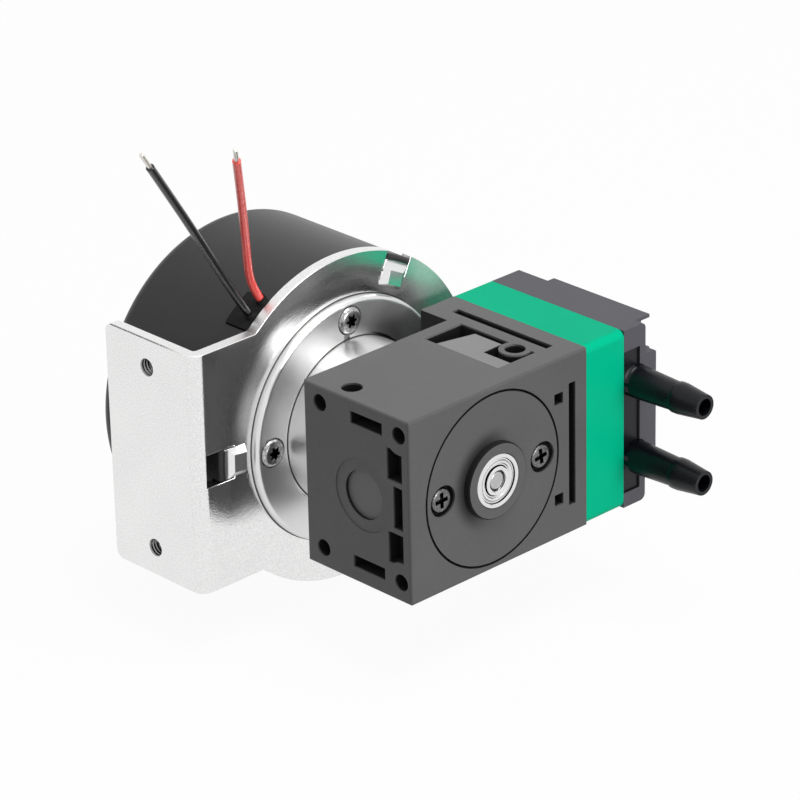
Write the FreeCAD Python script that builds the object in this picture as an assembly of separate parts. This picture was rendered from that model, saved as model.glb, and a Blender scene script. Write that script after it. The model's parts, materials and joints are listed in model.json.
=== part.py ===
import FreeCAD, Part
import math
import os

V = FreeCAD.Vector
ORIGIN = V(0, 0, 0)
AXIS = {"x": V(1, 0, 0), "y": V(0, 1, 0), "z": V(0, 0, 1)}

# Diaphragm vacuum pump, in millimetres.
# While it is drawn, the shaft runs along Y through x = 0, z = 0, the bracket's front
# face is y = 0, the motor lies towards +Y and the pump head towards +X. At the end every
# piece moves so that the origin is the centre of the bracket's two tapped holes.

# General clearances
SLIP = 0.03          # between pieces that are pressed or glued together
FREE = 0.10          # around covers, screws and inserts
tip_gap = 0.3        # beyond the tips of screws in blind holes
facet_size = 0.2     # for the triangle count that is printed
RUN = 0.05           # radial running clearance of balls and shafts

# Motor can
can_r = 24.0
can_wall = 1.0
can_depth = 23.7
can_rear_round = 2.2
can_dish_r = 9.0
can_dish_depth = 0.5
tab_width = 4.4
tab_thickness = 0.9
tab_reach = 4.7
tab_round = 0.6
tab_end_length = 2.2     # the part that is bent over the plate
tab_end_height = 0.6
tab_lift = 0.3
tab_proud = 0.1
tab_angles = (63.0, 179.0, 300.0)
window_angle = 179.0
outlet_angle = 126.0
outlet_width = 5.6
outlet_depth = 4.6

# Bracket, one bent sheet
sheet = 1.8
plate_lip = 0.4
plate_hole_r = 5.2
flange_stand = 3.97
flange_rear_y = 18.3
flange_half_z = 18.05
flange_corner = 1.3
bend_round = 1.9
bracket_hole_r = 1.25
bracket_hole_y = 9.75
bracket_hole_half_pitch = 13.8
window_reach = 2.3
tab_gap = 0.25

# Adapter flange between motor and pump
adapter_r = 18.15
adapter_step = 1.2
adapter_round = 0.7
boss_r = 12.4
boss_end = 8.56
boss_round = 0.5
pilot_r = 6.0
pilot_length = 1.8
adapter_screw_circle = 15.2
adapter_screw_r = 1.25
adapter_screw_head_r = 2.1
adapter_screw_head_height = 1.3
adapter_screw_proud = 0.5
adapter_screw_count = 4

# Recesses of the screws, as shares of the head's radius or height
cross_reach = 0.62
cross_width = 0.17
recess_share = 0.55
socket_share = 0.55

# Shaft and its bearings
shaft_r = 1.5
shaft_front = 29.85
shaft_end_chamfer = 0.25
bearing_r = 4.0
bearing_width = 4.0
inner_ring_r = 2.15
outer_ring_inner_r = 3.3
bearing_ball_count = 7
shield_thickness = 0.25
shield_inset = 0.2

# Bearing tube of the motor
tube_r = 5.0
tube_shoulder_r = 3.4
tube_flange_r = 7.5
tube_flange = 1.4
tube_end_margin = 0.4
front_bearing_y = -7.0
rear_bearing_y = 13.0
washer_thickness = 0.3
clip_thickness = 0.55
clip_r = 2.8
clip_clearance = 0.6

# Motor inner parts
board_gap = 2.5
board_thickness = 1.0
core_r = 16.2
core_front_y = 7.5
core_length = 9.5
core_hub_r = 8.0
tooth_count = 9
tooth_width = 3.0
tooth_tip = 1.9
tooth_gap_angle = 6.0
coil_build = 1.3
coil_inner_r = 9.0
coil_outer_r = 13.7
air_gap = 0.4
magnet_thickness = 1.6
magnet_count = 12
magnet_gap_angle = 2.0
magnet_length = 11.5
rotor_wall = 1.2
rotor_front_y = 6.0
rotor_hub_r = 4.5
rotor_gap = 0.8
vent_r = 2.2
vent_count = 6

# Crank
throw = 1.3
journal_r = 3.5
rod_plane_y = -16.18
rod_bearing_r = 7.0
rod_bearing_width = 5.0
rod_inner_ring_r = 4.4
rod_outer_ring_inner_r = 6.1
rod_ball_count = 9
collar_r = 4.3
collar_thickness = 0.5
hub_r = 4.5
weight_r = 9.4
weight_thickness = 3.3
weight_gap = 0.5
set_screw_r = 1.25
set_screw_length = 2.6

# Connecting rod
rod_wall = 1.6
rod_thickness = 4.4
arm_half_z = 3.2
arm_half_y = 2.0
rod_plate_r = 5.5
rod_plate_thickness = 1.4
rod_neck_length = 3.4
rod_neck_r = 4.7
clamp_disc_thickness = 1.1
clamp_disc_round = 0.35
diaphragm_screw_r = 1.25
diaphragm_screw_length = 8.0
diaphragm_screw_head_r = 2.3

# Crankcase
case_x0 = -15.8
joint_x = 18.4
case_front_y = -29.1
case_half_z = 13.7
collar_x = 11.7
collar_rear_y = -3.26
case_round = 0.35
cavity_r = 11.9
cavity_rear_wall = 2.24
diaphragm_bore_ledge = 2.1
diaphragm_bore_x = 13.0
rim_margin = 2.6
rim_thickness = 1.0
passage_half_z = 5.9
passage_half_y = 4.9
passage_round = 1.5
case_screw_circle = 9.4
case_screw_count = 3
case_screw_r = 1.0
case_screw_head_r = 1.8
case_screw_head_height = 1.3
case_screw_length = 4.5

# Pockets of the crankcase: end face holes, slots and windows
end_middle_z = 0.25
end_hole_r = 1.25
end_hole_clear_r = 2.9
end_hole_depth = 6.0
end_hole_y = -19.48
end_hole_half_y = 7.67
end_hole_half_z = 11.0
end_slot_y0 = -23.95
end_slot_y1 = -17.8
end_slot_z = 10.85
end_slot_height = 1.8
end_slot_depth = 6.0
end_row_y = -27.65
end_row_width = 2.85
end_row_middle_width = 1.75
end_row_outer_z = (3.9, 8.6)
end_row_inner_half_z = 3.15
end_row_depth = 2.2
end_row_middle_depth = 1.5
end_disc_y = -19.95
end_disc_r = 5.4
end_disc_core_r = 3.6
end_disc_step = 0.15
end_disc_core_depth = 0.65
top_hole_x = -12.95
top_hole_y = -15.25
top_hole_r = 1.5
top_hole_depth = 8.0
top_boss_x = 11.3
top_boss_y = -22.3
top_boss_r = 2.3
top_boss_hole_r = 1.5
top_boss_hole_depth = 6.2
top_pocket_x0 = 5.1
top_pocket_x1 = 12.3
top_pocket_y0 = -25.2
top_pocket_y1 = -10.8
top_pocket_depth = 0.15
top_pit_x0 = 7.7
top_pit_y1 = -19.7
top_pit_depth = 3.2
top_moat = 0.95
top_moat_depth = 2.2
top_moat_left = 2.1
top_moat_right = 3.9
top_slot_x = 14.95
top_slot_width = 1.3
top_slot_y0 = -25.4
top_slot_y1 = -6.9
top_slot_depth = 1.5
front_slot_x = 15.55
front_slot_width = 1.3
front_slot_half_z = 9.35
front_slot_depth = 2.8
front_key_x = 12.9
front_key_size = 1.7
front_key_z = 7.7
front_key_depth = 3.0

# Front cover
cover_r = 12.60
cover_gap = 0.22
cover_thickness = 2.4
cover_boss_r = 5.6
cover_boss_proud = 1.0
cover_boss_inner = 1.7
cover_boss_round = 0.25
cover_lip_r = 3.1
cover_screw_half_pitch = 9.6
cover_screw_r = 1.1
cover_screw_head_r = 1.85
cover_screw_recess_r = 2.3
cover_screw_recess = 1.1
cover_screw_head_height = 0.9
cover_screw_length = 4.0
cover_lug_r = 2.2
cover_lug_length = 3.3
cover_lug_root = 0.6

# Diaphragm
membrane_thickness = 0.5
fold_depth = 0.5
rim_overhang = 0.4

# Chamber plate
plate_thickness = 7.6
plate_round = 1.2
chamber_margin = 0.8
chamber_taper = 0.6
chamber_clearance = 0.3
valve_offset_z = -0.5
valve_margin = 7.86
valve_pocket_r = 3.6
valve_pocket_depth = 1.8
valve_disc_r = 3.2
valve_disc_thickness = 0.6
valve_lift = 0.5
valve_port_r = 0.55
valve_port_circle = 1.5
valve_port_count = 4
stop_post_r = 0.7
bridge_thickness = 0.8
seal_margin = 3.15
seal_width = 0.8
seal_depth = 0.9

# Pump head and its cover
head_thickness = 4.4
head_round = 0.9
head_port_r = 2.2
cover_plate_front_y = -27.6
cover_plate_step_y = -9.0
cover_plate_thickness = 2.4
cover_plate_step = 1.1
cover_plate_lip = 0.5
corner_relief_y = -26.0
tongue_top_margin = 5.0
tongue_bottom_margin = 4.0
tongue_front_y = -28.9
tongue_round = 0.5
recess_top_margin = 3.3
recess_bottom_margin = 2.25
recess_side_x = 29.25
recess_depth = 4.5
head_screw_r = 1.25
head_screw_half_y = 6.82
head_screw_margin = 3.0
head_screw_head_r = 2.1
head_screw_head_height = 1.6
head_screw_grip = 5.2
head_relief = 0.35
lid_screw_r = 1.0
lid_screw_half_pitch = 4.6
lid_screw_head_r = 1.9
lid_screw_head_height = 1.0
lid_screw_length = 5.0

# Hose ports
port_x = 28.45
port_tip_y = -42.1
port_bore_r = 1.25
port_root_r = 2.4
port_neck_r = 2.1
port_barb_r = 2.3
port_tip_r = 1.8
port_barb_length = 5.0
port_barb_land = 0.9
port_plate_sink = 0.3
port_spigot_r = 1.9
port_spigot_length = 2.6

# Leads: hand-chosen routes from the outlet's middle to the stripped ends
lead_r = 0.6
strand_r = 0.33
strand_length = 3.4
outlet_boss_r = 0.85
outlet_boss_length = 0.9
bend_share = 0.45
lead_proud = 1.0
grommet_sink = 0.6
grommet_flange = 1.2
black_route = [
    (-0.36, 3.00, -0.26), (-1.56, 3.00, 1.33), (-3.13, 3.40, 4.13),
    (-6.00, 3.20, 8.67), (-10.50, 2.20, 15.36), (-15.03, 0.90, 21.53),
    (-19.82, -0.80, 27.72),
]
red_route = [
    (1.81, 3.00, 1.20), (0.88, 3.00, 2.74), (0.07, 3.10, 5.07),
    (-1.53, 1.60, 10.33), (-4.66, -1.60, 16.71), (-8.20, -5.20, 22.77),
    (-11.92, -9.00, 28.56),
]

# Places that follow from the sizes above
can_rear_y = sheet + can_depth
can_inner_r = can_r - can_wall
tab_step_r = can_r - tab_reach + tab_end_length
plate_r = can_r + plate_lip
flange_x = -can_r - flange_stand
board_r = can_inner_r - board_gap
lead_exit_r = can_r + lead_proud
outlet_x = lead_exit_r * math.cos(math.radians(outlet_angle))
outlet_top_z = lead_exit_r * math.sin(math.radians(outlet_angle))
shaft_rear = can_rear_y - can_wall - can_dish_depth - rotor_gap
rotor_hub_front = rear_bearing_y + bearing_width + tube_end_margin + rotor_gap
rim_r = case_half_z - rim_margin
diaphragm_bore_r = rim_r - diaphragm_bore_ledge
chamber_r = diaphragm_bore_r - chamber_margin
seal_r = case_half_z - seal_margin
valve_half_pitch = case_half_z - valve_margin
head_screw_half_z = case_half_z - head_screw_margin
tongue_top_z = case_half_z - tongue_top_margin
tongue_bottom_z = -case_half_z + tongue_bottom_margin
recess_top_z = case_half_z - recess_top_margin
recess_bottom_z = -case_half_z + recess_bottom_margin
ball_circle = (inner_ring_r + outer_ring_inner_r) / 2
ball_r = (outer_ring_inner_r - inner_ring_r) / 2 - RUN
rod_ball_circle = (rod_inner_ring_r + rod_outer_ring_inner_r) / 2
rod_ball_r = (rod_outer_ring_inner_r - rod_inner_ring_r) / 2 - RUN
pin_x = -throw
rod_big_r = rod_bearing_r + rod_wall
journal_front_y = rod_plane_y - rod_bearing_width / 2
journal_rear_y = rod_plane_y + rod_bearing_width / 2
ledge_y = case_front_y + cover_thickness
case_rear_y = -boss_end
cavity_rear_y = case_rear_y - cavity_rear_wall
weight_rear_y = journal_front_y - weight_gap
weight_front_y = weight_rear_y - weight_thickness
cover_bearing_y = case_front_y - cover_boss_proud
plate_x1 = joint_x + plate_thickness
head_x1 = plate_x1 + head_thickness
lid_x1 = head_x1 + cover_plate_thickness
lid_step_x = head_x1 + cover_plate_step
rod_plate_x1 = joint_x - rim_thickness - throw
clamp_x1 = rod_plate_x1 + rim_thickness + clamp_disc_thickness
chamber_x1 = clamp_x1 + 2 * throw + chamber_clearance
port_plate_face = case_front_y + port_plate_sink
plate_y_middle = rod_plane_y
head_screw_y = (plate_y_middle - head_screw_half_y, plate_y_middle + head_screw_half_y)
outlet_z = valve_offset_z + valve_half_pitch
inlet_z = valve_offset_z - valve_half_pitch
board_y = sheet + tube_flange


def box(x0, x1, y0, y1, z0, z1):
    return Part.makeBox(x1 - x0, y1 - y0, z1 - z0, V(x0, y0, z0))


def disc(axis, r, start, end, a=0.0, b=0.0):
    """Cylinder along an axis; a and b are the centre's two other coordinates."""
    base = {"x": V(start, a, b), "y": V(a, start, b), "z": V(a, b, start)}[axis]
    return Part.makeCylinder(r, end - start, base, AXIS[axis])


def ring(axis, outer, inner, start, end, a=0.0, b=0.0):
    solid = disc(axis, outer, start, end, a, b)
    return solid.cut(disc(axis, inner, start - 1, end + 1, a, b))


def cone_y(r0, r1, y0, y1, x=0.0, z=0.0):
    """Cone or cylinder from y0 to y1, in either direction."""
    way = V(0, 1, 0) if y1 > y0 else V(0, -1, 0)
    if abs(r0 - r1) < 1e-6:
        return Part.makeCylinder(r0, abs(y1 - y0), V(x, y0, z), way)
    return Part.makeCone(r0, r1, abs(y1 - y0), V(x, y0, z), way)


def turned(shape, degrees):
    """Turn about the shaft, from +X towards +Z."""
    copy = shape.copy()
    copy.rotate(ORIGIN, V(0, -1, 0), degrees)
    return copy


def around(shape, count, first=0.0):
    return [turned(shape, first + 360.0 * k / count) for k in range(count)]


def circles(shape, r, axis, place):
    """Full or part circle edges of one radius in the plane at that place."""
    found = []
    for edge in shape.Edges:
        curve = edge.Curve
        if not isinstance(curve, Part.Circle):
            continue
        centre = {"x": curve.Center.x, "y": curve.Center.y, "z": curve.Center.z}[axis]
        if abs(curve.Radius - r) < 1e-4 and abs(centre - place) < 1e-4:
            found.append(edge)
    return found


def lines(shape, along, test):
    """Straight edges along one axis whose middle point passes the test."""
    found = []
    for edge in shape.Edges:
        if not isinstance(edge.Curve, Part.Line):
            continue
        if abs(abs(edge.Curve.Direction.dot(AXIS[along])) - 1) > 1e-6:
            continue
        middle = edge.valueAt((edge.FirstParameter + edge.LastParameter) / 2)
        if test(middle):
            found.append(edge)
    return found


def near(value, target):
    return abs(value - target) < 1e-4


def ball_set(circle, r, count, y, x=0.0):
    balls = []
    for k in range(count):
        angle = 2 * math.pi * k / count
        place = V(x + circle * math.cos(angle), y, circle * math.sin(angle))
        balls.append(Part.makeSphere(r, place))
    return balls


def motor_can():
    rear = can_rear_y
    outer = disc("y", can_r, sheet, rear)
    outer = outer.makeFillet(can_rear_round, circles(outer, can_r, "y", rear))
    inner = disc("y", can_inner_r, sheet - 1, rear - can_wall)
    inner_round = max(can_rear_round - can_wall, can_wall / 4)
    inner = inner.makeFillet(inner_round, circles(inner, can_inner_r, "y", rear - can_wall))
    can = outer.cut(inner)
    dish_floor = rear - can_dish_depth
    can = can.fuse(disc("y", can_dish_r + can_wall, dish_floor - can_wall, rear - can_wall / 2))
    can = can.cut(disc("y", can_dish_r, dish_floor, rear + 1))
    half = outlet_width / 2
    outlet = box(can_inner_r - 3, can_r + 2, sheet - 1, sheet + outlet_depth, -half, half)
    can = can.cut(turned(outlet, outlet_angle))
    for angle in tab_angles:
        can = can.fuse(turned(crimp_tab(), angle))
    return can.removeSplitter()


def crimp_tab():
    """One tab of the can: it lies in the plate's notch, and its end is bent over the plate."""
    half = tab_width / 2
    tip_r = can_r - tab_reach
    root_y = sheet + tab_gap
    strip = box(tab_step_r, can_r + 1, -tab_proud, root_y, -half, half)
    strip = strip.common(disc("y", can_r, -tab_proud, root_y))
    strip = strip.makeFillet(tab_round, circles(strip, can_r, "y", -tab_proud))
    under = box(0, can_r, tab_thickness - tab_proud, root_y + 1, -half - 1, half + 1)
    strip = strip.cut(under.common(disc("y", can_inner_r, 0, root_y + 1)))
    corners = [
        V(tip_r, -tab_end_height - tab_lift, -half),
        V(tab_step_r + tab_thickness, -tab_end_height, -half),
        V(tab_step_r + tab_thickness, tab_thickness / 2, -half), V(tab_step_r, tab_thickness / 2, -half),
        V(tab_step_r, 0, -half), V(tip_r, 0, -half),
    ]
    end = Part.Face(Part.makePolygon(corners + corners[:1])).extrude(V(0, 0, tab_width))
    return strip.fuse(end)


def mounting_bracket():
    plate = disc("y", plate_r, 0, sheet)
    lug = box(flange_x, 0, 0, sheet, -flange_half_z, flange_half_z)
    flange = box(flange_x, flange_x + sheet, 0, flange_rear_y, -flange_half_z, flange_half_z)
    corners = lines(flange, "x", lambda p: near(p.y, flange_rear_y))
    flange = flange.makeFillet(flange_corner, corners)
    bracket = plate.fuse(lug).fuse(flange).removeSplitter()
    bend = lines(bracket, "z", lambda p: near(p.x, flange_x) and near(p.y, 0))
    bracket = bracket.makeFillet(bend_round, bend)
    inside = lines(bracket, "z", lambda p: near(p.x, flange_x + sheet) and near(p.y, sheet))
    bracket = bracket.makeFillet(bend_round / 4, inside)
    bracket = bracket.cut(disc("y", plate_hole_r, -1, sheet + 1))
    half = tab_width / 2 + tab_gap
    for angle in tab_angles:
        reach = can_r + window_reach if angle == window_angle else plate_r + 1
        notch = box(tab_step_r - tab_gap, reach, -1, sheet + tab_gap, -half, half)
        bracket = bracket.cut(turned(notch, angle))
    for side in (-1, 1):
        z = side * bracket_hole_half_pitch
        hole = disc("x", bracket_hole_r, flange_x - 1, flange_x + sheet + 1, bracket_hole_y, z)
        bracket = bracket.cut(hole)
    screw_hole = disc("y", adapter_screw_r, -1, sheet + 1, adapter_screw_circle)
    for hole in around(screw_hole, adapter_screw_count):
        bracket = bracket.cut(hole)
    return bracket


def lead_points(route):
    outlet = V(outlet_x, 0, outlet_top_z)
    return [outlet + V(*point) for point in route]


def lead_grommet():
    half = outlet_width / 2 - FREE
    top = lead_exit_r - grommet_sink
    inner_r = can_inner_r - SLIP
    hole_length = 2 * (top - inner_r + grommet_flange)
    body = box(inner_r - grommet_flange, top + 1, sheet + SLIP, sheet + outlet_depth - FREE, -half, half)
    body = body.common(disc("y", top, sheet, sheet + outlet_depth))
    body = turned(body, outlet_angle)
    flange = box(inner_r - grommet_flange, inner_r, sheet + SLIP, sheet + outlet_depth + 1,
                 -half - 1, half + 1)
    flange = flange.common(disc("y", inner_r, sheet, sheet + outlet_depth + 1))
    grommet = body.fuse(turned(flange, outlet_angle))
    for route in (black_route, red_route):
        start, following = lead_points(route)[:2]
        way = (following - start).normalize()
        base = start - way * outlet_boss_length
        grommet = grommet.fuse(Part.makeCylinder(outlet_boss_r, outlet_boss_length, base, way))
    for route in (black_route, red_route):
        start, following = lead_points(route)[:2]
        way = (following - start).normalize()
        base = start - way * hole_length
        grommet = grommet.cut(Part.makeCylinder(strand_r, hole_length, base, way))
    return grommet.removeSplitter()


def lead(name, route):
    """Round tube along straight runs joined by tangent arcs."""
    points = lead_points(route)
    edges = []
    start = points[0]
    radii = []
    for before, corner, after in zip(points, points[1:], points[2:]):
        into = (corner - before).normalize()
        out = (after - corner).normalize()
        run = min(before.distanceToPoint(corner), corner.distanceToPoint(after))
        turn = into.getAngle(out)
        trim = bend_share * run
        radii.append(trim / math.tan(turn / 2))
        arc_start = corner - into * trim
        arc_end = corner + out * trim
        middle = corner + (arc_start + arc_end - corner * 2).normalize() * (
            math.hypot(radii[-1], trim) - radii[-1])
        edges.append(Part.LineSegment(start, arc_start).toShape())
        edges.append(Part.Arc(arc_start, middle, arc_end).toShape())
        start = arc_end
    edges.append(Part.LineSegment(start, points[-1]).toShape())
    path = Part.Wire(edges)
    way = (points[1] - points[0]).normalize()
    section = Part.Wire(Part.makeCircle(lead_r, points[0], way))
    tube = path.makePipeShell([section], True, False)
    share = tube.Volume / (math.pi * lead_r ** 2 * path.Length)
    print(name, "length", round(path.Length, 2), "volume share", round(share, 4))
    print(name, "radii", [round(r, 1) for r in radii])
    return tube


def lead_strand(route):
    """Stripped and tinned end of a lead."""
    before, last = lead_points(route)[-2:]
    way = (last - before).normalize()
    tip = Part.makeCylinder(strand_r, strand_length, last, way)
    return tip.makeFillet(strand_r * 0.6, [tip.Edges[0]])


def adapter_flange():
    step = disc("y", adapter_r, -adapter_step, 0)
    step = step.makeFillet(adapter_round, circles(step, adapter_r, "y", -adapter_step))
    boss = disc("y", boss_r, -boss_end, -adapter_step / 2)
    boss = boss.makeFillet(boss_round, circles(boss, boss_r, "y", -boss_end))
    pilot = disc("y", pilot_r, -boss_end - pilot_length, -boss_end)
    body = step.fuse(boss).fuse(pilot)
    body = body.cut(disc("y", tube_r + SLIP, front_bearing_y - FREE, 1))
    body = body.cut(disc("y", clip_r + clip_clearance, -boss_end - pilot_length - 1, 1))
    seat = adapter_step + adapter_screw_proud - adapter_screw_head_height
    hole = disc("y", adapter_screw_r + FREE, -adapter_step - 1, 1, adapter_screw_circle)
    sink = disc("y", adapter_screw_head_r + FREE, -adapter_step - 1, -seat, adapter_screw_circle)
    for cutter in around(hole.fuse(sink), adapter_screw_count):
        body = body.cut(cutter)
    pitch = disc("y", case_screw_r, -boss_end - 1, -boss_end + case_screw_length, case_screw_circle)
    for cutter in around(pitch, case_screw_count, 90):
        body = body.cut(cutter)
    return body.removeSplitter()


def screw_y(shank_r, length, head_r, head_height, seat_y, x, z=0.0):
    """Screw whose head looks towards -Y, with a cross recess."""
    head = disc("y", head_r, seat_y - head_height, seat_y, x, z)
    top = circles(head, head_r, "y", seat_y - head_height)
    head = head.makeFillet(head_height * 0.4, top)
    screw = head.fuse(disc("y", shank_r, seat_y, seat_y + length, x, z))
    arm = head_r * cross_reach
    width = head_r * cross_width
    face_y = seat_y - head_height
    depth = head_height * recess_share
    screw = screw.cut(box(x - arm, x + arm, face_y - 1, face_y + depth, z - width, z + width))
    return screw.cut(box(x - width, x + width, face_y - 1, face_y + depth, z - arm, z + arm))


def screw_x(shank_r, length, head_r, head_height, seat_x, y, z):
    """Socket screw whose head looks towards +X."""
    head = disc("x", head_r, seat_x, seat_x + head_height, y, z)
    top = circles(head, head_r, "x", seat_x + head_height)
    head = head.makeFillet(head_height * 0.2, top)
    screw = head.fuse(disc("x", shank_r, seat_x - length, seat_x, y, z))
    points = []
    across = head_r * socket_share
    floor_x = seat_x + head_height * (1 - recess_share)
    for k in range(7):
        angle = math.radians(60 * k)
        points.append(V(floor_x, y + across * math.cos(angle), z + across * math.sin(angle)))
    socket = Part.Face(Part.makePolygon(points)).extrude(V(head_height, 0, 0))
    return screw.cut(socket)


def adapter_screws():
    seat = -(adapter_step + adapter_screw_proud - adapter_screw_head_height)
    length = sheet - seat - FREE
    one = screw_y(adapter_screw_r - SLIP, length, adapter_screw_head_r, adapter_screw_head_height,
                  seat, adapter_screw_circle)
    return Part.Compound(around(one, adapter_screw_count))


def bearing_tube():
    end = rear_bearing_y + bearing_width + tube_end_margin
    tube = disc("y", tube_r, front_bearing_y, end)
    tube = tube.fuse(disc("y", tube_flange_r, sheet, sheet + tube_flange))
    tube = tube.cut(disc("y", tube_shoulder_r, front_bearing_y - 1, end + 1))
    pocket_end = front_bearing_y + bearing_width + washer_thickness
    tube = tube.cut(disc("y", bearing_r + SLIP, front_bearing_y - 1, pocket_end))
    return tube.cut(disc("y", bearing_r + SLIP, rear_bearing_y, end + 1))


def bearing_outer(y0):
    return ring("y", bearing_r, outer_ring_inner_r, y0, y0 + bearing_width)


def bearing_inner(y0):
    return ring("y", inner_ring_r, shaft_r + SLIP / 2, y0, y0 + bearing_width)


def bearing_balls(y0):
    return ball_set(ball_circle, ball_r, bearing_ball_count, y0 + bearing_width / 2)


def wave_washer():
    y0 = front_bearing_y + bearing_width
    return ring("y", bearing_r - FREE, outer_ring_inner_r + FREE, y0, y0 + washer_thickness)


def shaft_clip():
    clip = ring("y", clip_r, shaft_r + SLIP / 2, front_bearing_y - clip_thickness, front_bearing_y)
    mouth = box(0, clip_r + 1, front_bearing_y - 2, front_bearing_y + 1, -shaft_r * 0.7, shaft_r * 0.7)
    return clip.cut(mouth)


def motor_shaft():
    shaft = disc("y", shaft_r, -shaft_front, shaft_rear)
    edges = circles(shaft, shaft_r, "y", -shaft_front) + circles(shaft, shaft_r, "y", shaft_rear)
    return shaft.makeChamfer(shaft_end_chamfer, edges)


def circuit_board():
    board = ring("y", board_r, tube_r + SLIP, board_y, board_y + board_thickness)
    edge = box(board_r - 2, board_r + 1, board_y - 1, board_y + 2, -outlet_width, outlet_width)
    return board.cut(turned(edge, outlet_angle))


def stator_core():
    end = core_front_y + core_length
    half_pitch = 180.0 / tooth_count
    core = ring("y", core_hub_r, tube_r + SLIP, core_front_y, end)
    half = tooth_width / 2
    tooth = box(core_hub_r - 1, core_r - tooth_tip / 2, core_front_y, end, -half, half)
    tip = ring("y", core_r, core_r - tooth_tip, core_front_y, end)
    span = half_pitch - tooth_gap_angle / 2
    wedge = [V(0, core_front_y - 1, 0)]
    for side in (-1, 1):
        angle = math.radians(side * span)
        wedge.append(V(2 * core_r * math.cos(angle), core_front_y - 1, 2 * core_r * math.sin(angle)))
    wedge.append(wedge[0])
    cutter = Part.Face(Part.makePolygon(wedge)).extrude(V(0, core_length + 2, 0))
    one = tooth.fuse(tip.common(cutter))
    for piece in around(one, tooth_count):
        core = core.fuse(piece)
    return core.removeSplitter()


def stator_coils():
    end = core_front_y + core_length
    inner_half = tooth_width / 2 + SLIP
    outer_half = inner_half + coil_build
    coil = box(coil_inner_r, coil_outer_r, core_front_y - coil_build, end + coil_build,
               -outer_half, outer_half)
    coil = coil.makeFillet(coil_build * 0.7, lines(coil, "x", lambda p: True))
    hole = box(coil_inner_r - 1, coil_outer_r + 1, core_front_y - SLIP, end + SLIP,
               -inner_half, inner_half)
    return Part.Compound(around(coil.cut(hole), tooth_count))


def rotor_cup():
    magnet_r = core_r + air_gap + magnet_thickness
    outer = magnet_r + rotor_wall
    cup = disc("y", outer, rotor_front_y, shaft_rear)
    cup = cup.cut(disc("y", magnet_r + SLIP, rotor_front_y - 1, shaft_rear - rotor_wall))
    cup = cup.fuse(disc("y", rotor_hub_r, rotor_hub_front, shaft_rear))
    cup = cup.fuse(disc("y", inner_ring_r, rear_bearing_y + bearing_width, rotor_hub_front + 1))
    cup = cup.cut(disc("y", shaft_r + SLIP / 2, 0, shaft_rear + 1))
    vent = disc("y", vent_r, shaft_rear - rotor_wall - 1, shaft_rear + 1, (outer + rotor_hub_r) / 2)
    for hole in around(vent, vent_count):
        cup = cup.cut(hole)
    return cup.removeSplitter()


def rotor_magnets():
    inner = core_r + air_gap
    y0 = core_front_y - (magnet_length - core_length) / 2
    whole = ring("y", inner + magnet_thickness, inner, y0, y0 + magnet_length)
    span = 180.0 / magnet_count - magnet_gap_angle / 2
    reach = 2 * inner
    points = [V(0, y0 - 1, 0)]
    for side in (-1, 1):
        angle = math.radians(side * span)
        points.append(V(reach * math.cos(angle), y0 - 1, reach * math.sin(angle)))
    points.append(points[0])
    cutter = Part.Face(Part.makePolygon(points)).extrude(V(0, magnet_length + 2, 0))
    return Part.Compound(around(whole.common(cutter), magnet_count))


def crankcase():
    rear = case_rear_y
    body = box(case_x0, joint_x, case_front_y, rear, -case_half_z, case_half_z)
    collar = box(collar_x, joint_x, case_front_y, collar_rear_y, -case_half_z, case_half_z)
    body = body.fuse(collar).removeSplitter()
    body = body.makeFillet(case_round, case_edges(body))
    body = body.cut(disc("y", boss_r + FREE, rear, collar_rear_y + 1))
    body = body.cut(disc("y", cavity_r, case_front_y - 1, cavity_rear_y))
    body = body.fuse(cover_lugs())
    body = body.cut(disc("y", cover_r + cover_gap, case_front_y - 1, ledge_y))
    body = body.cut(disc("y", pilot_r + SLIP, case_front_y, rear + 1))
    passage = box(cavity_r - 4, diaphragm_bore_x + 1, rod_plane_y - passage_half_y,
                  rod_plane_y + passage_half_y, -passage_half_z, passage_half_z)
    passage = passage.makeFillet(passage_round, lines(passage, "x", lambda p: True))
    body = body.cut(passage)
    body = body.cut(disc("x", diaphragm_bore_r, diaphragm_bore_x, joint_x + 1, rod_plane_y))
    body = body.cut(disc("x", rim_r + SLIP, joint_x - rim_thickness, joint_x + 1, rod_plane_y))
    for cutter in end_face_cuts() + top_cuts() + front_cuts() + case_screw_holes():
        body = body.cut(cutter)
    return body


def case_edges(body):
    """Outer edges of the block, apart from the joint face and the rear."""
    def along_z(p):
        return near(p.x, case_x0) or (near(p.y, case_front_y) and p.x < 0)

    found = lines(body, "z", along_z)
    found += lines(body, "x", lambda p: near(p.y, case_front_y))
    found += lines(body, "y", lambda p: near(p.x, case_x0))
    return found


def cover_lugs():
    """Two screw lugs in the cavity, grown to its wall."""
    lugs = []
    end = ledge_y + cover_lug_length
    for side in (-1, 1):
        x = side * cover_screw_half_pitch
        lug = disc("y", cover_lug_r, ledge_y, end, x)
        outer = side * (cavity_r + cover_lug_root)
        web = box(min(x, outer), max(x, outer), ledge_y, end, -cover_lug_r, cover_lug_r)
        lug = lug.fuse(web)
        lugs.append(lug.cut(disc("y", cover_screw_r, ledge_y - 1, end + 1, x)))
    return lugs[0].fuse(lugs[1])


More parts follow.
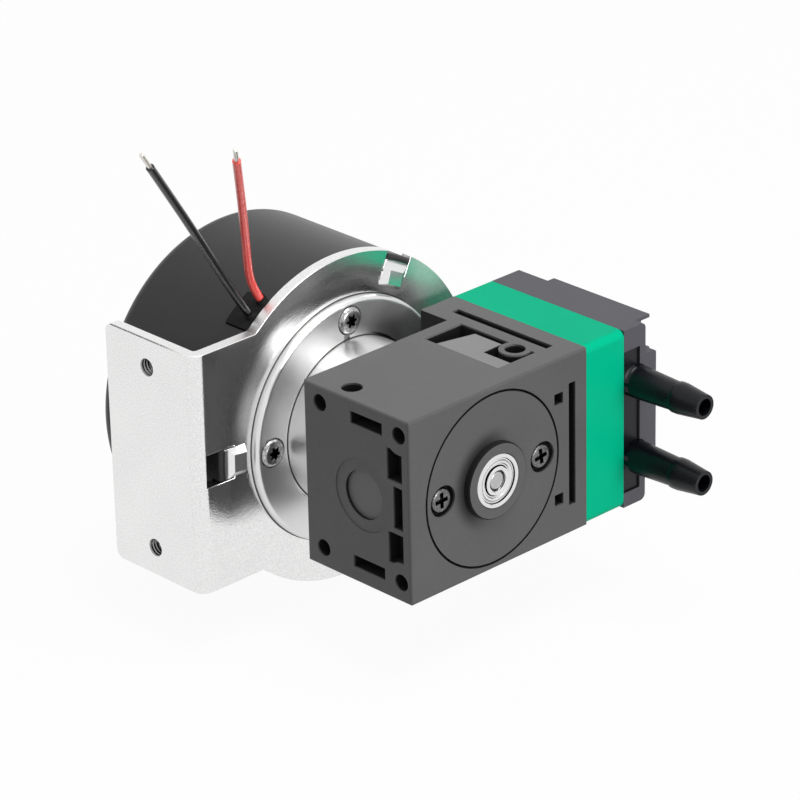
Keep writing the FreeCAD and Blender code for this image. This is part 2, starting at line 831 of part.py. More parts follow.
def end_face_cuts():
    """Corner holes, slots and pockets that keep a wall around the holes, and a stepped disc."""
    cuts = []
    face = case_x0
    middle = end_middle_z
    for side in (-1, 1):
        z = middle + side * end_slot_z
        half = end_slot_height / 2
        slot = box(face - 1, face + end_slot_depth, end_slot_y0, end_slot_y1, z - half, z + half)
        low, high = sorted((middle + side * end_row_outer_z[0], middle + side * end_row_outer_z[1]))
        row = box(face - 1, face + end_row_depth, end_row_y, end_row_y + end_row_width, low, high)
        for side_y in (-1, 1):
            y = end_hole_y + side_y * end_hole_half_y
            z = middle + side * end_hole_half_z
            wall = disc("x", end_hole_clear_r, face - 2, face + end_slot_depth + 1, y, z)
            slot = slot.cut(wall)
            row = row.cut(wall)
            cuts.append(disc("x", end_hole_r, face - 1, face + end_hole_depth, y, z))
        cuts += [slot, row]
    half = end_row_inner_half_z
    cuts.append(box(face - 1, face + end_row_middle_depth, end_row_y, end_row_y + end_row_middle_width,
                    middle - half, middle + half))
    step = disc("x", end_disc_r, face - 1, face + end_disc_step, end_disc_y)
    core = disc("x", end_disc_core_r, face - 1, face + end_disc_core_depth, end_disc_y)
    cuts.append(step.fuse(core))
    return cuts


def top_cuts():
    top = case_half_z
    cuts = [disc("z", top_hole_r, top - top_hole_depth, top + 1, top_hole_x, top_hole_y)]
    boss = disc("z", top_boss_r, top - top_pit_depth - 1, top + 2, top_boss_x, top_boss_y)
    floor = top - top_pocket_depth
    pocket = box(top_pocket_x0, top_pocket_x1, top_pocket_y0, top_pocket_y1, floor, top + 1)
    pit = box(top_pit_x0, top_pocket_x1, top_pocket_y0, top_pit_y1, top - top_pit_depth, top + 1)
    moat_side = box(top_pocket_x1 - top_moat, top_pocket_x1, top_pocket_y0, top_pocket_y1,
                    top - top_pit_depth, top + 1)
    moat_z = top - top_moat_depth
    corners = [
        V(top_pocket_x0, top_pocket_y1, moat_z), V(top_pocket_x1, top_pocket_y1, moat_z),
        V(top_pocket_x1, top_pocket_y1 - top_moat_right, moat_z),
        V(top_pocket_x0, top_pocket_y1 - top_moat_left, moat_z),
    ]
    moat_rear = Part.Face(Part.makePolygon(corners + corners[:1])).extrude(V(0, 0, top_moat_depth + 1))
    pocket = pocket.fuse(pit).fuse(moat_side).fuse(moat_rear)
    cuts.append(pocket.cut(boss))
    cuts.append(disc("z", top_boss_hole_r, top - top_boss_hole_depth, top + 1, top_boss_x, top_boss_y))
    half = top_slot_width / 2
    cuts.append(box(top_slot_x - half, top_slot_x + half, top_slot_y0, top_slot_y1,
                    top - top_slot_depth, top + 1))
    return cuts


def front_cuts():
    face = case_front_y
    half = front_slot_width / 2
    cuts = [box(front_slot_x - half, front_slot_x + half, face - 1, face + front_slot_depth,
                -front_slot_half_z, front_slot_half_z)]
    half = front_key_size / 2
    for side in (-1, 1):
        z = side * front_key_z
        cuts.append(box(front_key_x - half, front_key_x + half, face - 1, face + front_key_depth,
                        z - half, z + half))
    return cuts


def case_screw_holes():
    cuts = []
    through = disc("y", case_screw_r + FREE, cavity_rear_y - 1, case_rear_y + 1, case_screw_circle)
    cuts += around(through, case_screw_count, 90)
    for y in head_screw_y:
        for side in (-1, 1):
            z = side * head_screw_half_z
            start = joint_x - head_screw_grip - tip_gap
            cuts.append(disc("x", head_screw_r, start, joint_x + 1, y, z))
    return cuts


def case_screws():
    length = cavity_rear_wall + case_screw_length - tip_gap
    one = screw_y(case_screw_r - SLIP, length, case_screw_head_r,
                  case_screw_head_height, cavity_rear_y, case_screw_circle)
    return Part.Compound(around(one, case_screw_count, 90))


def front_cover():
    cover = disc("y", cover_r, case_front_y, ledge_y)
    cover = cover.fuse(disc("y", cover_boss_r, cover_bearing_y, ledge_y + cover_boss_inner))
    cover = cover.makeFillet(cover_boss_round, circles(cover, cover_boss_r, "y", cover_bearing_y))
    pocket_end = cover_bearing_y + bearing_width
    cover = cover.cut(disc("y", bearing_r + SLIP, cover_bearing_y - 1, pocket_end))
    cover = cover.cut(disc("y", cover_lip_r, cover_bearing_y - 1, ledge_y + cover_boss_inner + 1))
    for side in (-1, 1):
        x = side * cover_screw_half_pitch
        seat = case_front_y + cover_screw_recess
        cover = cover.cut(disc("y", cover_screw_recess_r, case_front_y - 1, seat, x))
        cover = cover.cut(disc("y", cover_screw_r + FREE, case_front_y, ledge_y + 1, x))
    return cover.removeSplitter()


def cover_screws():
    seat = case_front_y + cover_screw_recess
    screws = []
    for side in (-1, 1):
        screws.append(screw_y(cover_screw_r - SLIP, cover_screw_length, cover_screw_head_r,
                              cover_screw_head_height, seat, side * cover_screw_half_pitch))
    return Part.Compound(screws)


def bearing_shields(y0):
    """The two thin steel shields of a bearing, held in the outer ring."""
    shields = []
    for start in (y0 + shield_inset, y0 + bearing_width - shield_inset - shield_thickness):
        end = start + shield_thickness
        shields.append(ring("y", outer_ring_inner_r - SLIP, inner_ring_r + 2 * RUN, start, end))
    return Part.Compound(shields)


def eccentric():
    """Journal, collar and counterweight in one turned and milled piece."""
    journal = disc("y", journal_r - SLIP / 2, journal_front_y, journal_rear_y, pin_x)
    collar = disc("y", collar_r, journal_rear_y, journal_rear_y + collar_thickness, pin_x)
    half_disc = disc("y", weight_r, weight_front_y, weight_rear_y)
    half_space = box(0, 2 * weight_r, weight_front_y, weight_rear_y, -weight_r, weight_r)
    half_disc = half_disc.common(half_space)
    hub = disc("y", hub_r, weight_front_y, weight_rear_y)
    spacer = disc("y", collar_r, weight_rear_y, journal_front_y, pin_x)
    body = journal.fuse(collar).fuse(half_disc).fuse(hub).fuse(spacer)
    body = body.cut(disc("y", shaft_r + SLIP / 2, weight_front_y - 1, journal_rear_y + 2))
    middle = (weight_front_y + weight_rear_y) / 2
    body = body.cut(disc("x", set_screw_r, -hub_r - 1, 0, middle))
    return body.removeSplitter()


def set_screw():
    middle = (weight_front_y + weight_rear_y) / 2
    start = -shaft_r - SLIP - set_screw_length
    screw = disc("x", set_screw_r - SLIP, start, start + set_screw_length, middle)
    depth = set_screw_length * recess_share
    return screw.cut(disc("x", set_screw_r * socket_share, start - 1, start + depth, middle))


def rod_bearing_inner():
    return ring("y", rod_inner_ring_r, journal_r, journal_front_y, journal_rear_y, pin_x)


def rod_bearing_outer():
    return ring("y", rod_bearing_r, rod_outer_ring_inner_r, journal_front_y, journal_rear_y, pin_x)


def rod_bearing_balls():
    return Part.Compound(ball_set(rod_ball_circle, rod_ball_r, rod_ball_count, rod_plane_y, pin_x))


def connecting_rod():
    half = rod_thickness / 2
    big = disc("y", rod_big_r, rod_plane_y - half, rod_plane_y + half, pin_x)
    arm_start = pin_x + rod_bearing_r
    plate_x0 = rod_plate_x1 - rod_plate_thickness
    arm = box(arm_start, rod_plate_x1, rod_plane_y - arm_half_y, rod_plane_y + arm_half_y,
              -arm_half_z, arm_half_z)
    neck = Part.makeCone(arm_half_z, rod_neck_r, rod_neck_length,
                         V(plate_x0 - rod_neck_length, rod_plane_y, 0), AXIS["x"])
    plate = disc("x", rod_plate_r, plate_x0, rod_plate_x1, rod_plane_y)
    rod = big.fuse(arm).fuse(neck).fuse(plate)
    rod = rod.cut(disc("y", rod_bearing_r + SLIP, rod_plane_y - half - 1, rod_plane_y + half + 1, pin_x))
    start = clamp_x1 - diaphragm_screw_length - tip_gap
    rod = rod.cut(disc("x", diaphragm_screw_r, start, clamp_x1, rod_plane_y))
    return rod.removeSplitter()


def diaphragm():
    """Clamped rim, thin membrane with one fold, and a thick centre, drawn back by the throw."""
    centre_x0 = rod_plate_x1
    centre_x1 = centre_x0 + rim_thickness
    rim_x0 = joint_x - rim_thickness
    centre = ring("x", rod_plate_r, diaphragm_screw_r + SLIP, centre_x0, centre_x1, rod_plane_y)
    rim = ring("x", rim_r, diaphragm_bore_r - rim_overhang, rim_x0, joint_x, rod_plane_y)
    t = membrane_thickness
    inner = rod_plate_r - rim_overhang / 2
    outer = diaphragm_bore_r - rim_overhang / 2
    middle_in = (centre_x0 + centre_x1) / 2
    middle_out = (rim_x0 + joint_x) / 2
    points = [
        V(middle_in - t / 2, inner, 0), V(middle_out - t / 2, outer, 0),
        V(middle_out + t / 2, outer, 0), V(middle_in + t / 2, inner, 0),
    ]
    fold_x = min(middle_in, middle_out) - fold_depth
    fold_r = (inner + outer) / 2
    lower = Part.Arc(points[0], V(fold_x - t / 2, fold_r, 0), points[1]).toShape()
    upper = Part.Arc(points[2], V(fold_x + t / 2, fold_r, 0), points[3]).toShape()
    outer_end = Part.LineSegment(points[1], points[2]).toShape()
    inner_end = Part.LineSegment(points[3], points[0]).toShape()
    face = Part.Face(Part.Wire([lower, outer_end, upper, inner_end]))
    membrane = face.revolve(ORIGIN, AXIS["x"], 360)
    membrane.translate(V(0, rod_plane_y, 0))
    return centre.fuse(rim).fuse(membrane).removeSplitter()


def clamp_disc():
    x0 = rod_plate_x1 + rim_thickness
    plate = disc("x", rod_plate_r, x0, clamp_x1, rod_plane_y)
    plate = plate.makeFillet(clamp_disc_round, circles(plate, rod_plate_r, "x", clamp_x1))
    sink = Part.makeCone(diaphragm_screw_r, diaphragm_screw_head_r, clamp_disc_thickness,
                         V(x0, rod_plane_y, 0), AXIS["x"])
    return plate.cut(sink)


def diaphragm_screw():
    x0 = rod_plate_x1 + rim_thickness
    head = Part.makeCone(diaphragm_screw_r - SLIP, diaphragm_screw_head_r - SLIP, clamp_disc_thickness,
                         V(x0, rod_plane_y, 0), AXIS["x"])
    shank = disc("x", diaphragm_screw_r - SLIP, clamp_x1 - diaphragm_screw_length, x0, rod_plane_y)
    screw = head.fuse(shank)
    width = diaphragm_screw_head_r * cross_width
    arm = diaphragm_screw_head_r * cross_reach
    x_cut = clamp_x1 - clamp_disc_thickness * recess_share
    screw = screw.cut(box(x_cut, clamp_x1 + 1, rod_plane_y - arm, rod_plane_y + arm, -width, width))
    return screw.cut(box(x_cut, clamp_x1 + 1, rod_plane_y - width, rod_plane_y + width, -arm, arm))


def valve_ports(z, x0, x1):
    cuts = []
    for k in range(valve_port_count):
        angle = 2 * math.pi * (k + 0.5) / valve_port_count
        y = rod_plane_y + valve_port_circle * math.cos(angle)
        cuts.append(disc("x", valve_port_r, x0, x1, y, z + valve_port_circle * math.sin(angle)))
    return cuts


def chamber_plate():
    plate = box(joint_x, plate_x1, case_front_y, collar_rear_y, -case_half_z, case_half_z)
    plate = plate.makeFillet(plate_round, lines(plate, "x", lambda p: near(p.y, case_front_y)))
    dish = Part.makeCone(chamber_r, chamber_r - chamber_taper, chamber_x1 - joint_x,
                         V(joint_x, rod_plane_y, 0), AXIS["x"])
    plate = plate.cut(dish)
    pocket_x = plate_x1 - valve_pocket_depth
    for z in (outlet_z, inlet_z):
        plate = plate.cut(disc("x", valve_pocket_r, pocket_x, plate_x1 + 1, rod_plane_y, z))
        for cutter in valve_ports(z, chamber_x1 - chamber_taper, pocket_x + chamber_taper):
            plate = plate.cut(cutter)
    stop = valve_pocket_depth - valve_disc_thickness - valve_lift
    plate = plate.fuse(disc("x", stop_post_r, pocket_x - stop, pocket_x + stop, rod_plane_y, inlet_z))
    inner = seal_r - seal_width - FREE
    start = plate_x1 - seal_depth
    plate = plate.cut(ring("x", seal_r + FREE, inner, start, plate_x1 + 1, rod_plane_y, valve_offset_z))
    for y in head_screw_y:
        for side in (-1, 1):
            z = side * head_screw_half_z
            plate = plate.cut(disc("x", head_screw_r + FREE, joint_x - 1, plate_x1 + 1, y, z))
    return plate.removeSplitter()


def head_seal():
    inner = seal_r - seal_width
    start = plate_x1 - seal_depth
    return ring("x", seal_r, inner, start, plate_x1, rod_plane_y, valve_offset_z)


def outlet_valve():
    x0 = plate_x1 - valve_pocket_depth
    return disc("x", valve_disc_r, x0, x0 + valve_disc_thickness, rod_plane_y, outlet_z)


def inlet_valve():
    return disc("x", valve_disc_r, plate_x1 - valve_disc_thickness, plate_x1, rod_plane_y, inlet_z)


def pump_head():
    head = box(plate_x1, head_x1, case_front_y, cover_plate_front_y, -case_half_z, case_half_z)
    head = head.makeFillet(head_round, lines(head, "y", lambda p: near(p.x, head_x1)))
    head = head.fuse(box(plate_x1, head_x1, cover_plate_front_y, collar_rear_y, -case_half_z, case_half_z))
    recess_floor = case_front_y + recess_depth
    head = head.cut(box(plate_x1 - 1, recess_side_x, case_front_y - 1, recess_floor,
                        recess_bottom_z, recess_top_z))
    for z in (outlet_z, inlet_z):
        head = head.cut(disc("x", head_port_r, plate_x1 - 1, head_x1 + 1, rod_plane_y, z))
        head = head.cut(cone_y(port_spigot_r + SLIP, port_spigot_r + SLIP, case_front_y,
                               recess_floor + port_spigot_length, port_x, z))
        head = head.cut(cone_y(port_bore_r, port_bore_r, case_front_y, rod_plane_y, port_x, z))
        head = head.cut(cone_y(port_root_r + FREE, port_root_r + FREE, case_front_y - 1,
                               recess_floor, port_x, z))
    post_x = plate_x1 - valve_pocket_depth + valve_disc_thickness + valve_lift
    half = head_port_r + bridge_thickness / 2
    bridge = box(head_x1 - bridge_thickness, head_x1, rod_plane_y - half, rod_plane_y + half,
                 outlet_z - stop_post_r, outlet_z + stop_post_r)
    head = head.fuse(disc("x", stop_post_r, post_x, head_x1, rod_plane_y, outlet_z)).fuse(bridge)
    for y in head_screw_y:
        for side in (-1, 1):
            z = side * head_screw_half_z
            head = head.cut(disc("x", head_screw_r + FREE, plate_x1 - 1, head_x1 + 1, y, z))
    for side in (-1, 1):
        y = rod_plane_y + side * lid_screw_half_pitch
        start = lid_x1 - lid_screw_head_height - lid_screw_length - tip_gap
        head = head.cut(disc("x", lid_screw_r, start, head_x1 + 1, y, valve_offset_z))
    return head.removeSplitter()


def head_cover():
    """Stepped lid with a thin lip along its top, open at the four screw heads."""
    main = box(head_x1, lid_x1, cover_plate_front_y, cover_plate_step_y, -case_half_z, case_half_z)
    step = box(head_x1, lid_step_x, cover_plate_step_y, collar_rear_y, -case_half_z, case_half_z)
    tongue = box(head_x1, lid_x1, tongue_front_y, cover_plate_front_y + 1, tongue_bottom_z, tongue_top_z)
    tongue = tongue.makeFillet(tongue_round, lines(tongue, "y", lambda p: near(p.x, lid_x1)))
    lid = main.fuse(step).fuse(tongue)
    clear_r = head_screw_head_r + head_relief
    for side in (-1, 1):
        low, high = tongue_top_z, case_half_z - cover_plate_lip
        if side < 0:
            low, high = -case_half_z - 1, tongue_bottom_z
        lid = lid.cut(box(head_x1 - 1, lid_x1 + 1, tongue_front_y - 1, corner_relief_y, low, high))
        for y in head_screw_y:
            lid = lid.cut(disc("x", clear_r, head_x1 - 1, lid_x1 + 1, y, side * head_screw_half_z))
    for z in (outlet_z, inlet_z):
        lid = lid.cut(cone_y(port_root_r + FREE, port_root_r + FREE, tongue_front_y - 1,
                             case_front_y + recess_depth, port_x, z))
    for side in (-1, 1):
        y = rod_plane_y + side * lid_screw_half_pitch
        lid = lid.cut(disc("x", lid_screw_r + FREE, head_x1 - 1, lid_x1 + 1, y, valve_offset_z))
        lid = lid.cut(disc("x", lid_screw_head_r + FREE, lid_x1 - lid_screw_head_height, lid_x1 + 1,
                           y, valve_offset_z))
    return lid.removeSplitter()


def lid_screws():
    screws = []
    for side in (-1, 1):
        y = rod_plane_y + side * lid_screw_half_pitch
        screws.append(screw_x(lid_screw_r - SLIP, lid_screw_length, lid_screw_head_r - SLIP,
                              lid_screw_head_height, lid_x1 - lid_screw_head_height, y, valve_offset_z))
    return Part.Compound(screws)


def head_screws():
    screws = []
    length = head_thickness + plate_thickness + head_screw_grip
    for y in head_screw_y:
        for side in (-1, 1):
            z = side * head_screw_half_z
            screws.append(screw_x(head_screw_r - SLIP, length, head_screw_head_r,
                                  head_screw_head_height, head_x1, y, z))
    return Part.Compound(screws)


def port_manifold():
    """Plate in the head's recess with two barbed hose nozzles."""
    floor = case_front_y + recess_depth
    face = port_plate_face
    body = box(plate_x1 + FREE / 2, recess_side_x - FREE / 2, face, floor,
               recess_bottom_z + FREE / 2, recess_top_z - FREE / 2)
    for z in (outlet_z, inlet_z):
        body = body.fuse(nozzle(face, z))
        spigot_end = floor + port_spigot_length
        body = body.fuse(cone_y(port_spigot_r, port_spigot_r, face, spigot_end, port_x, z))
    for z in (outlet_z, inlet_z):
        body = body.cut(cone_y(port_bore_r, port_bore_r, port_tip_y - 1, spigot_end + 1, port_x, z))
    trim = box(plate_x1 - port_root_r, plate_x1 + FREE / 4, case_front_y, spigot_end,
               -case_half_z, case_half_z)
    return body.cut(trim).removeSplitter()


def nozzle(face, z):
    """Tapering stem, a barb with a short land, and a tapered tip."""
    barb_y = port_tip_y + port_barb_length
    land_y = barb_y - port_barb_land
    stem = cone_y(port_root_r, port_neck_r, case_front_y - 1, barb_y, port_x, z)
    root = cone_y(port_root_r, port_root_r, face, case_front_y - 1, port_x, z)
    land = cone_y(port_barb_r, port_barb_r, barb_y, land_y, port_x, z)
    tip = cone_y(port_barb_r, port_tip_r, land_y, port_tip_y, port_x, z)
    return root.fuse(stem).fuse(land).fuse(tip)


def pieces():
    """Every node and its shape, in the drawing frame."""
    bearings = (front_bearing_y, rear_bearing_y)
    motor_balls = bearing_balls(front_bearing_y) + bearing_balls(rear_bearing_y)
    return {
        "motor_can": motor_can(),
        "mounting_bracket": mounting_bracket(),
        "lead_grommet": lead_grommet(),
        "lead_black": lead("lead_black", black_route),
        "lead_red": lead("lead_red", red_route),
        "lead_black_strand": lead_strand(black_route),
        "lead_red_strand": lead_strand(red_route),
        "adapter_flange": adapter_flange(),
        "adapter_screws": adapter_screws(),
        "bearing_tube": bearing_tube(),
        "motor_bearing_outers": Part.Compound([bearing_outer(y) for y in bearings]),
        "motor_bearing_inners": Part.Compound([bearing_inner(y) for y in bearings]),
        "motor_bearing_balls": Part.Compound(motor_balls),
        "wave_washer": wave_washer(),
        "shaft_clip": shaft_clip(),
        "motor_shaft": motor_shaft(),
        "circuit_board": circuit_board(),
        "stator_core": stator_core(),
        "stator_coils": stator_coils(),
        "rotor_cup": rotor_cup(),
        "rotor_magnets": rotor_magnets(),
        "crankcase": crankcase(),
        "crankcase_screws": case_screws(),
        "front_cover": front_cover(),
        "cover_screws": cover_screws(),
        "cover_bearing_outer": bearing_outer(cover_bearing_y),
        "cover_bearing_inner": bearing_inner(cover_bearing_y),
        "cover_bearing_balls": Part.Compound(bearing_balls(cover_bearing_y)),
        "cover_bearing_shields": bearing_shields(cover_bearing_y),
        "eccentric": eccentric(),
        "eccentric_set_screw": set_screw(),
        "rod_bearing_inner": rod_bearing_inner(),
        "rod_bearing_outer": rod_bearing_outer(),
        "rod_bearing_balls": rod_bearing_balls(),
        "connecting_rod": connecting_rod(),
        "diaphragm": diaphragm(),
        "clamp_disc": clamp_disc(),
        "diaphragm_screw": diaphragm_screw(),
        "chamber_plate": chamber_plate(),
        "head_seal": head_seal(),
        "outlet_valve": outlet_valve(),
        "inlet_valve": inlet_valve(),
        "pump_head": pump_head(),
        "head_cover": head_cover(),
        "head_screws": head_screws(),
        "head_cover_screws": lid_screws(),
        "port_manifold": port_manifold(),
    }


def main():
    os.makedirs("parts", exist_ok=True)
    to_row = V(-flange_x, -bracket_hole_y, 0)
    triangles = 0
    for name, shape in pieces().items():
        shape.translate(to_row)
        if not shape.isValid():
            print(name, "is not valid")
        if shape.Volume <= 0:
            print(name, "has no volume")
        triangles += len(shape.tessellate(facet_size)[1])
        print(name, "solids", len(shape.Solids), "volume", round(shape.Volume, 2))
        shape.exportStep("parts/" + name + ".step")
    print("triangles", triangles)


main()
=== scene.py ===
import json
from math import atan2, cos, pi, radians, sin

import bmesh
import bpy
from mathutils import Matrix, Vector


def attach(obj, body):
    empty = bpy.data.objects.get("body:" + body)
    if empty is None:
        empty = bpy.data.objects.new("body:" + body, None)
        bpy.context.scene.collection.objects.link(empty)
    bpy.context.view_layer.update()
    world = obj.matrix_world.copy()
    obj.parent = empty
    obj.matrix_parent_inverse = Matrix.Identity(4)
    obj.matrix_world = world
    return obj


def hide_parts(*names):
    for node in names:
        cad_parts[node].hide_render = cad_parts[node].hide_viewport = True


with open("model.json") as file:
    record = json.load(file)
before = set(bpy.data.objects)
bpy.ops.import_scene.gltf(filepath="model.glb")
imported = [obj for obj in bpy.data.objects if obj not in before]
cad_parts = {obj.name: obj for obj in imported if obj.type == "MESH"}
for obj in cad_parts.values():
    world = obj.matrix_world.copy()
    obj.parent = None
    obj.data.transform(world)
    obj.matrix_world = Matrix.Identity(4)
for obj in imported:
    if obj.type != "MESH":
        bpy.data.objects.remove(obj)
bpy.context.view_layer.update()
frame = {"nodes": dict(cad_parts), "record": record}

nodes = frame["nodes"]
mm = 0.001
shaftX = 27.97            # the shaft's axis in the row frame, in mm
plateY = -9.75            # front face of the bracket plate
headMiddleY = -25.93      # middle plane of the connecting rod and the pump head
caseFrontY = -38.85


# Camera, lamps, floor and sky

camera = {
    "place": (-0.336998, -0.404827, 0.250349),
    "turn": (65.24645, 1.13988, -44.06406),   # degrees
    "lens": 189.46,
    "sensor": 36.0,
}
studio = {
    "floorZ": -0.0275,
    "floorSize": 6.0,
    "floorBounce": 0.45,
    "shadowShare": 0.05,      # share of the floor's own shading that the camera sees
    "skyLight": 0.28,
    "keyPower": 7.8,
    "keyPlace": (0.10, -0.35, 1.05),
    "keySize": 0.6,
    "sidePower": 4.9,
    "sidePlace": (0.14, -1.00, 0.10),
    "sideSize": 0.35,
}


def setCamera():
    data = bpy.data.cameras.new("photoCamera")
    data.lens = camera["lens"]
    data.sensor_width = camera["sensor"]
    data.clip_start = 0.01
    data.clip_end = 20
    obj = bpy.data.objects.new("photoCamera", data)
    bpy.context.collection.objects.link(obj)
    obj.location = camera["place"]
    obj.rotation_euler = [radians(a) for a in camera["turn"]]
    bpy.context.scene.camera = obj


def addLamp(name, place, power, size):
    data = bpy.data.lights.new(name, "AREA")
    data.energy = power
    data.size = size
    obj = bpy.data.objects.new(name, data)
    bpy.context.collection.objects.link(obj)
    obj.location = place
    aim = Vector((0.03, -0.02, 0.0)) - Vector(place)
    obj.rotation_euler = aim.to_track_quat("-Z", "Y").to_euler()


class Wire:   # a socket that takes Python's operators
    def __init__(self, tree, socket):
        self.tree = tree
        self.socket = socket

    def maths(self, kind, first, second):
        return self.tree.node("ShaderNodeMath", {"operation": kind}, {0: first, 1: second})

    def __add__(self, other):
        return self.maths("ADD", self, other)

    def __radd__(self, other):
        return self.maths("ADD", other, self)

    def __sub__(self, other):
        return self.maths("SUBTRACT", self, other)

    def __rsub__(self, other):
        return self.maths("SUBTRACT", other, self)

    def __mul__(self, other):
        return self.maths("MULTIPLY", self, other)

    def __rmul__(self, other):
        return self.maths("MULTIPLY", other, self)

    def __pow__(self, other):
        return self.maths("POWER", self, other)

    def __rpow__(self, other):
        return self.maths("POWER", other, self)

    def __lt__(self, other):
        return self.maths("LESS_THAN", self, other)

    def __gt__(self, other):
        return self.maths("GREATER_THAN", self, other)


class Tree:   # a node tree that is filled through one method
    def __init__(self, nodeTree):
        self.made = nodeTree
        self.made.nodes.clear()

    def node(self, kind, settings=None, inputs=None, out=0):
        new = self.made.nodes.new(kind)
        for key, value in (settings or {}).items():
            if key == "stops":
                ramp = new.color_ramp.elements
                for i, (position, colour) in enumerate(value):
                    stop = ramp[i] if i < 2 else ramp.new(position)
                    stop.position = position
                    stop.color = colour
            else:
                setattr(new, key, value)
        for key, value in (inputs or {}).items():
            if isinstance(value, Wire):
                self.made.links.new(value.socket, new.inputs[key])
            else:
                new.inputs[key].default_value = value
        return Wire(self, new.outputs[out]) if new.outputs else new

    def sameNode(self, wire, out):
        return Wire(self, wire.socket.node.outputs[out])

    def seen(self):   # 1 for what the camera sees, straight or in gloss and glass
        path = self.node("ShaderNodeLightPath", out="Is Camera Ray")
        total = path + self.sameNode(path, "Is Glossy Ray") + self.sameNode(path, "Is Transmission Ray")
        return self.node("ShaderNodeClamp", None, {0: total})


def setWorld():
    world = bpy.data.worlds.new("studioSky")
    bpy.context.scene.world = world
    world.use_nodes = True
    tree = Tree(world.node_tree)
    seen = tree.seen()
    strength = seen + (1 - seen) * studio["skyLight"]
    sky = tree.node("ShaderNodeBackground", None, {"Color": (1, 1, 1, 1), "Strength": strength})
    tree.node("ShaderNodeOutputWorld", None, {"Surface": sky})


def addFloor():
    bm = bmesh.new()
    bmesh.ops.create_grid(bm, x_segments=1, y_segments=1, size=studio["floorSize"])
    bmesh.ops.translate(bm, verts=bm.verts, vec=(0, 0, studio["floorZ"]))
    mesh = bpy.data.meshes.new("paleFloor")
    bm.to_mesh(mesh)
    bm.free()
    floor = bpy.data.objects.new("paleFloor", mesh)
    bpy.context.collection.objects.link(floor)
    material = bpy.data.materials.new("paleFloor")
    material.use_nodes = True
    tree = Tree(material.node_tree)
    bounce = studio["floorBounce"]
    own = tree.node("ShaderNodeBsdfDiffuse", None, {"Color": (bounce, bounce, bounce, 1)})
    pale = tree.node("ShaderNodeBsdfDiffuse", None, {"Color": (0.9, 0.9, 0.9, 1)})
    glow = tree.node("ShaderNodeEmission", None, {"Color": (1, 1, 1, 1), "Strength": 1.0})
    white = tree.node("ShaderNodeMixShader", None, {0: studio["shadowShare"], 1: glow, 2: pale})
    mixed = tree.node("ShaderNodeMixShader", None, {0: tree.seen(), 1: own, 2: white})
    tree.node("ShaderNodeOutputMaterial", None, {"Surface": mixed})
    mesh.materials.append(material)


bpy.context.scene.view_settings.view_transform = "Standard"
setCamera()
setWorld()
addFloor()
addLamp("keyLamp", studio["keyPlace"], studio["keyPower"], studio["keySize"])
addLamp("sideLamp", studio["sidePlace"], studio["sidePower"], studio["sideSize"])
print("camera and studio done")


# Finishes

class Finish(Tree):   # one material, with lengths in mm
    def __init__(self, name, **fixed):
        self.material = bpy.data.materials.new(name)
        self.material.use_nodes = True
        super().__init__(self.material.node_tree)
        self.shader = self.node("ShaderNodeBsdfPrincipled", None, fixed)
        self.node("ShaderNodeOutputMaterial", None, {"Surface": self.shader})
        spot = self.node("ShaderNodeTexCoord", out="Object")
        self.place = self.node("ShaderNodeVectorMath", {"operation": "SCALE"},
                               {0: spot, "Scale": 1 / mm})
        self.x = self.node("ShaderNodeSeparateXYZ", None, {0: self.place})
        self.y = self.sameNode(self.x, 1)
        self.z = self.sameNode(self.x, 2)

    def give(self, socket, value):
        target = self.shader.socket.node.inputs[socket]
        if isinstance(value, Wire):
            self.made.links.new(value.socket, target)
        else:
            target.default_value = value

    def noise(self, size, detail=2.0, stretch=None):   # size of a grain in mm
        vector = self.place
        if stretch:
            setting = {"operation": "MULTIPLY"}
            vector = self.node("ShaderNodeVectorMath", setting, {0: vector, 1: stretch})
        return self.node("ShaderNodeTexNoise", None,
                         {"Vector": vector, "Scale": 1 / size, "Detail": detail})

    def least(self, values):
        total = values[0]
        for value in values[1:]:
            total = self.node("ShaderNodeMath", {"operation": "MINIMUM"}, {0: total, 1: value})
        return total

    def within(self, value, low, high):
        return (value > low) * (value < high)

    def off(self, value, place):   # distance from a plane
        return self.node("ShaderNodeMath", {"operation": "ABSOLUTE"}, {0: value - place})

    def ramp(self, value, low, high):   # 0 at low, 1 at high
        return self.node("ShaderNodeMapRange", {"interpolation_type": "SMOOTHSTEP"},
                         {0: value, 1: low, 2: high})

    def blendColour(self, amount, first, second):
        colours = [c if isinstance(c, Wire) else (*c, 1) for c in (first, second)]
        ends = {0: amount, 6: colours[0], 7: colours[1]}
        return self.node("ShaderNodeMix", {"data_type": "RGBA"}, ends, 2)

    def bump(self, height, micron):   # height 0 to 1 over that many micrometres
        normal = self.node("ShaderNodeBump", None, {"Height": height, "Distance": micron * 1e-6})
        self.give("Normal", normal)

    def radius(self, x=None, y=None, z=None):   # distance from a line along the axis left out
        total = None
        for own, centre in ((self.x, x), (self.y, y), (self.z, z)):
            if centre is not None:
                square = (own - centre) ** 2.0
                total = square if total is None else total + square
        return total ** 0.5

    def ringNoise(self, radius, size, detail=3.0):   # lathe marks: noise along the radius only
        vector = self.node("ShaderNodeCombineXYZ", None, {0: radius})
        return self.node("ShaderNodeTexNoise", None,
                         {"Vector": vector, "Scale": 1 / size, "Detail": detail})


def grey(value, warm=0.0):
    return (value * (1 + warm), value, value * (1 - warm))


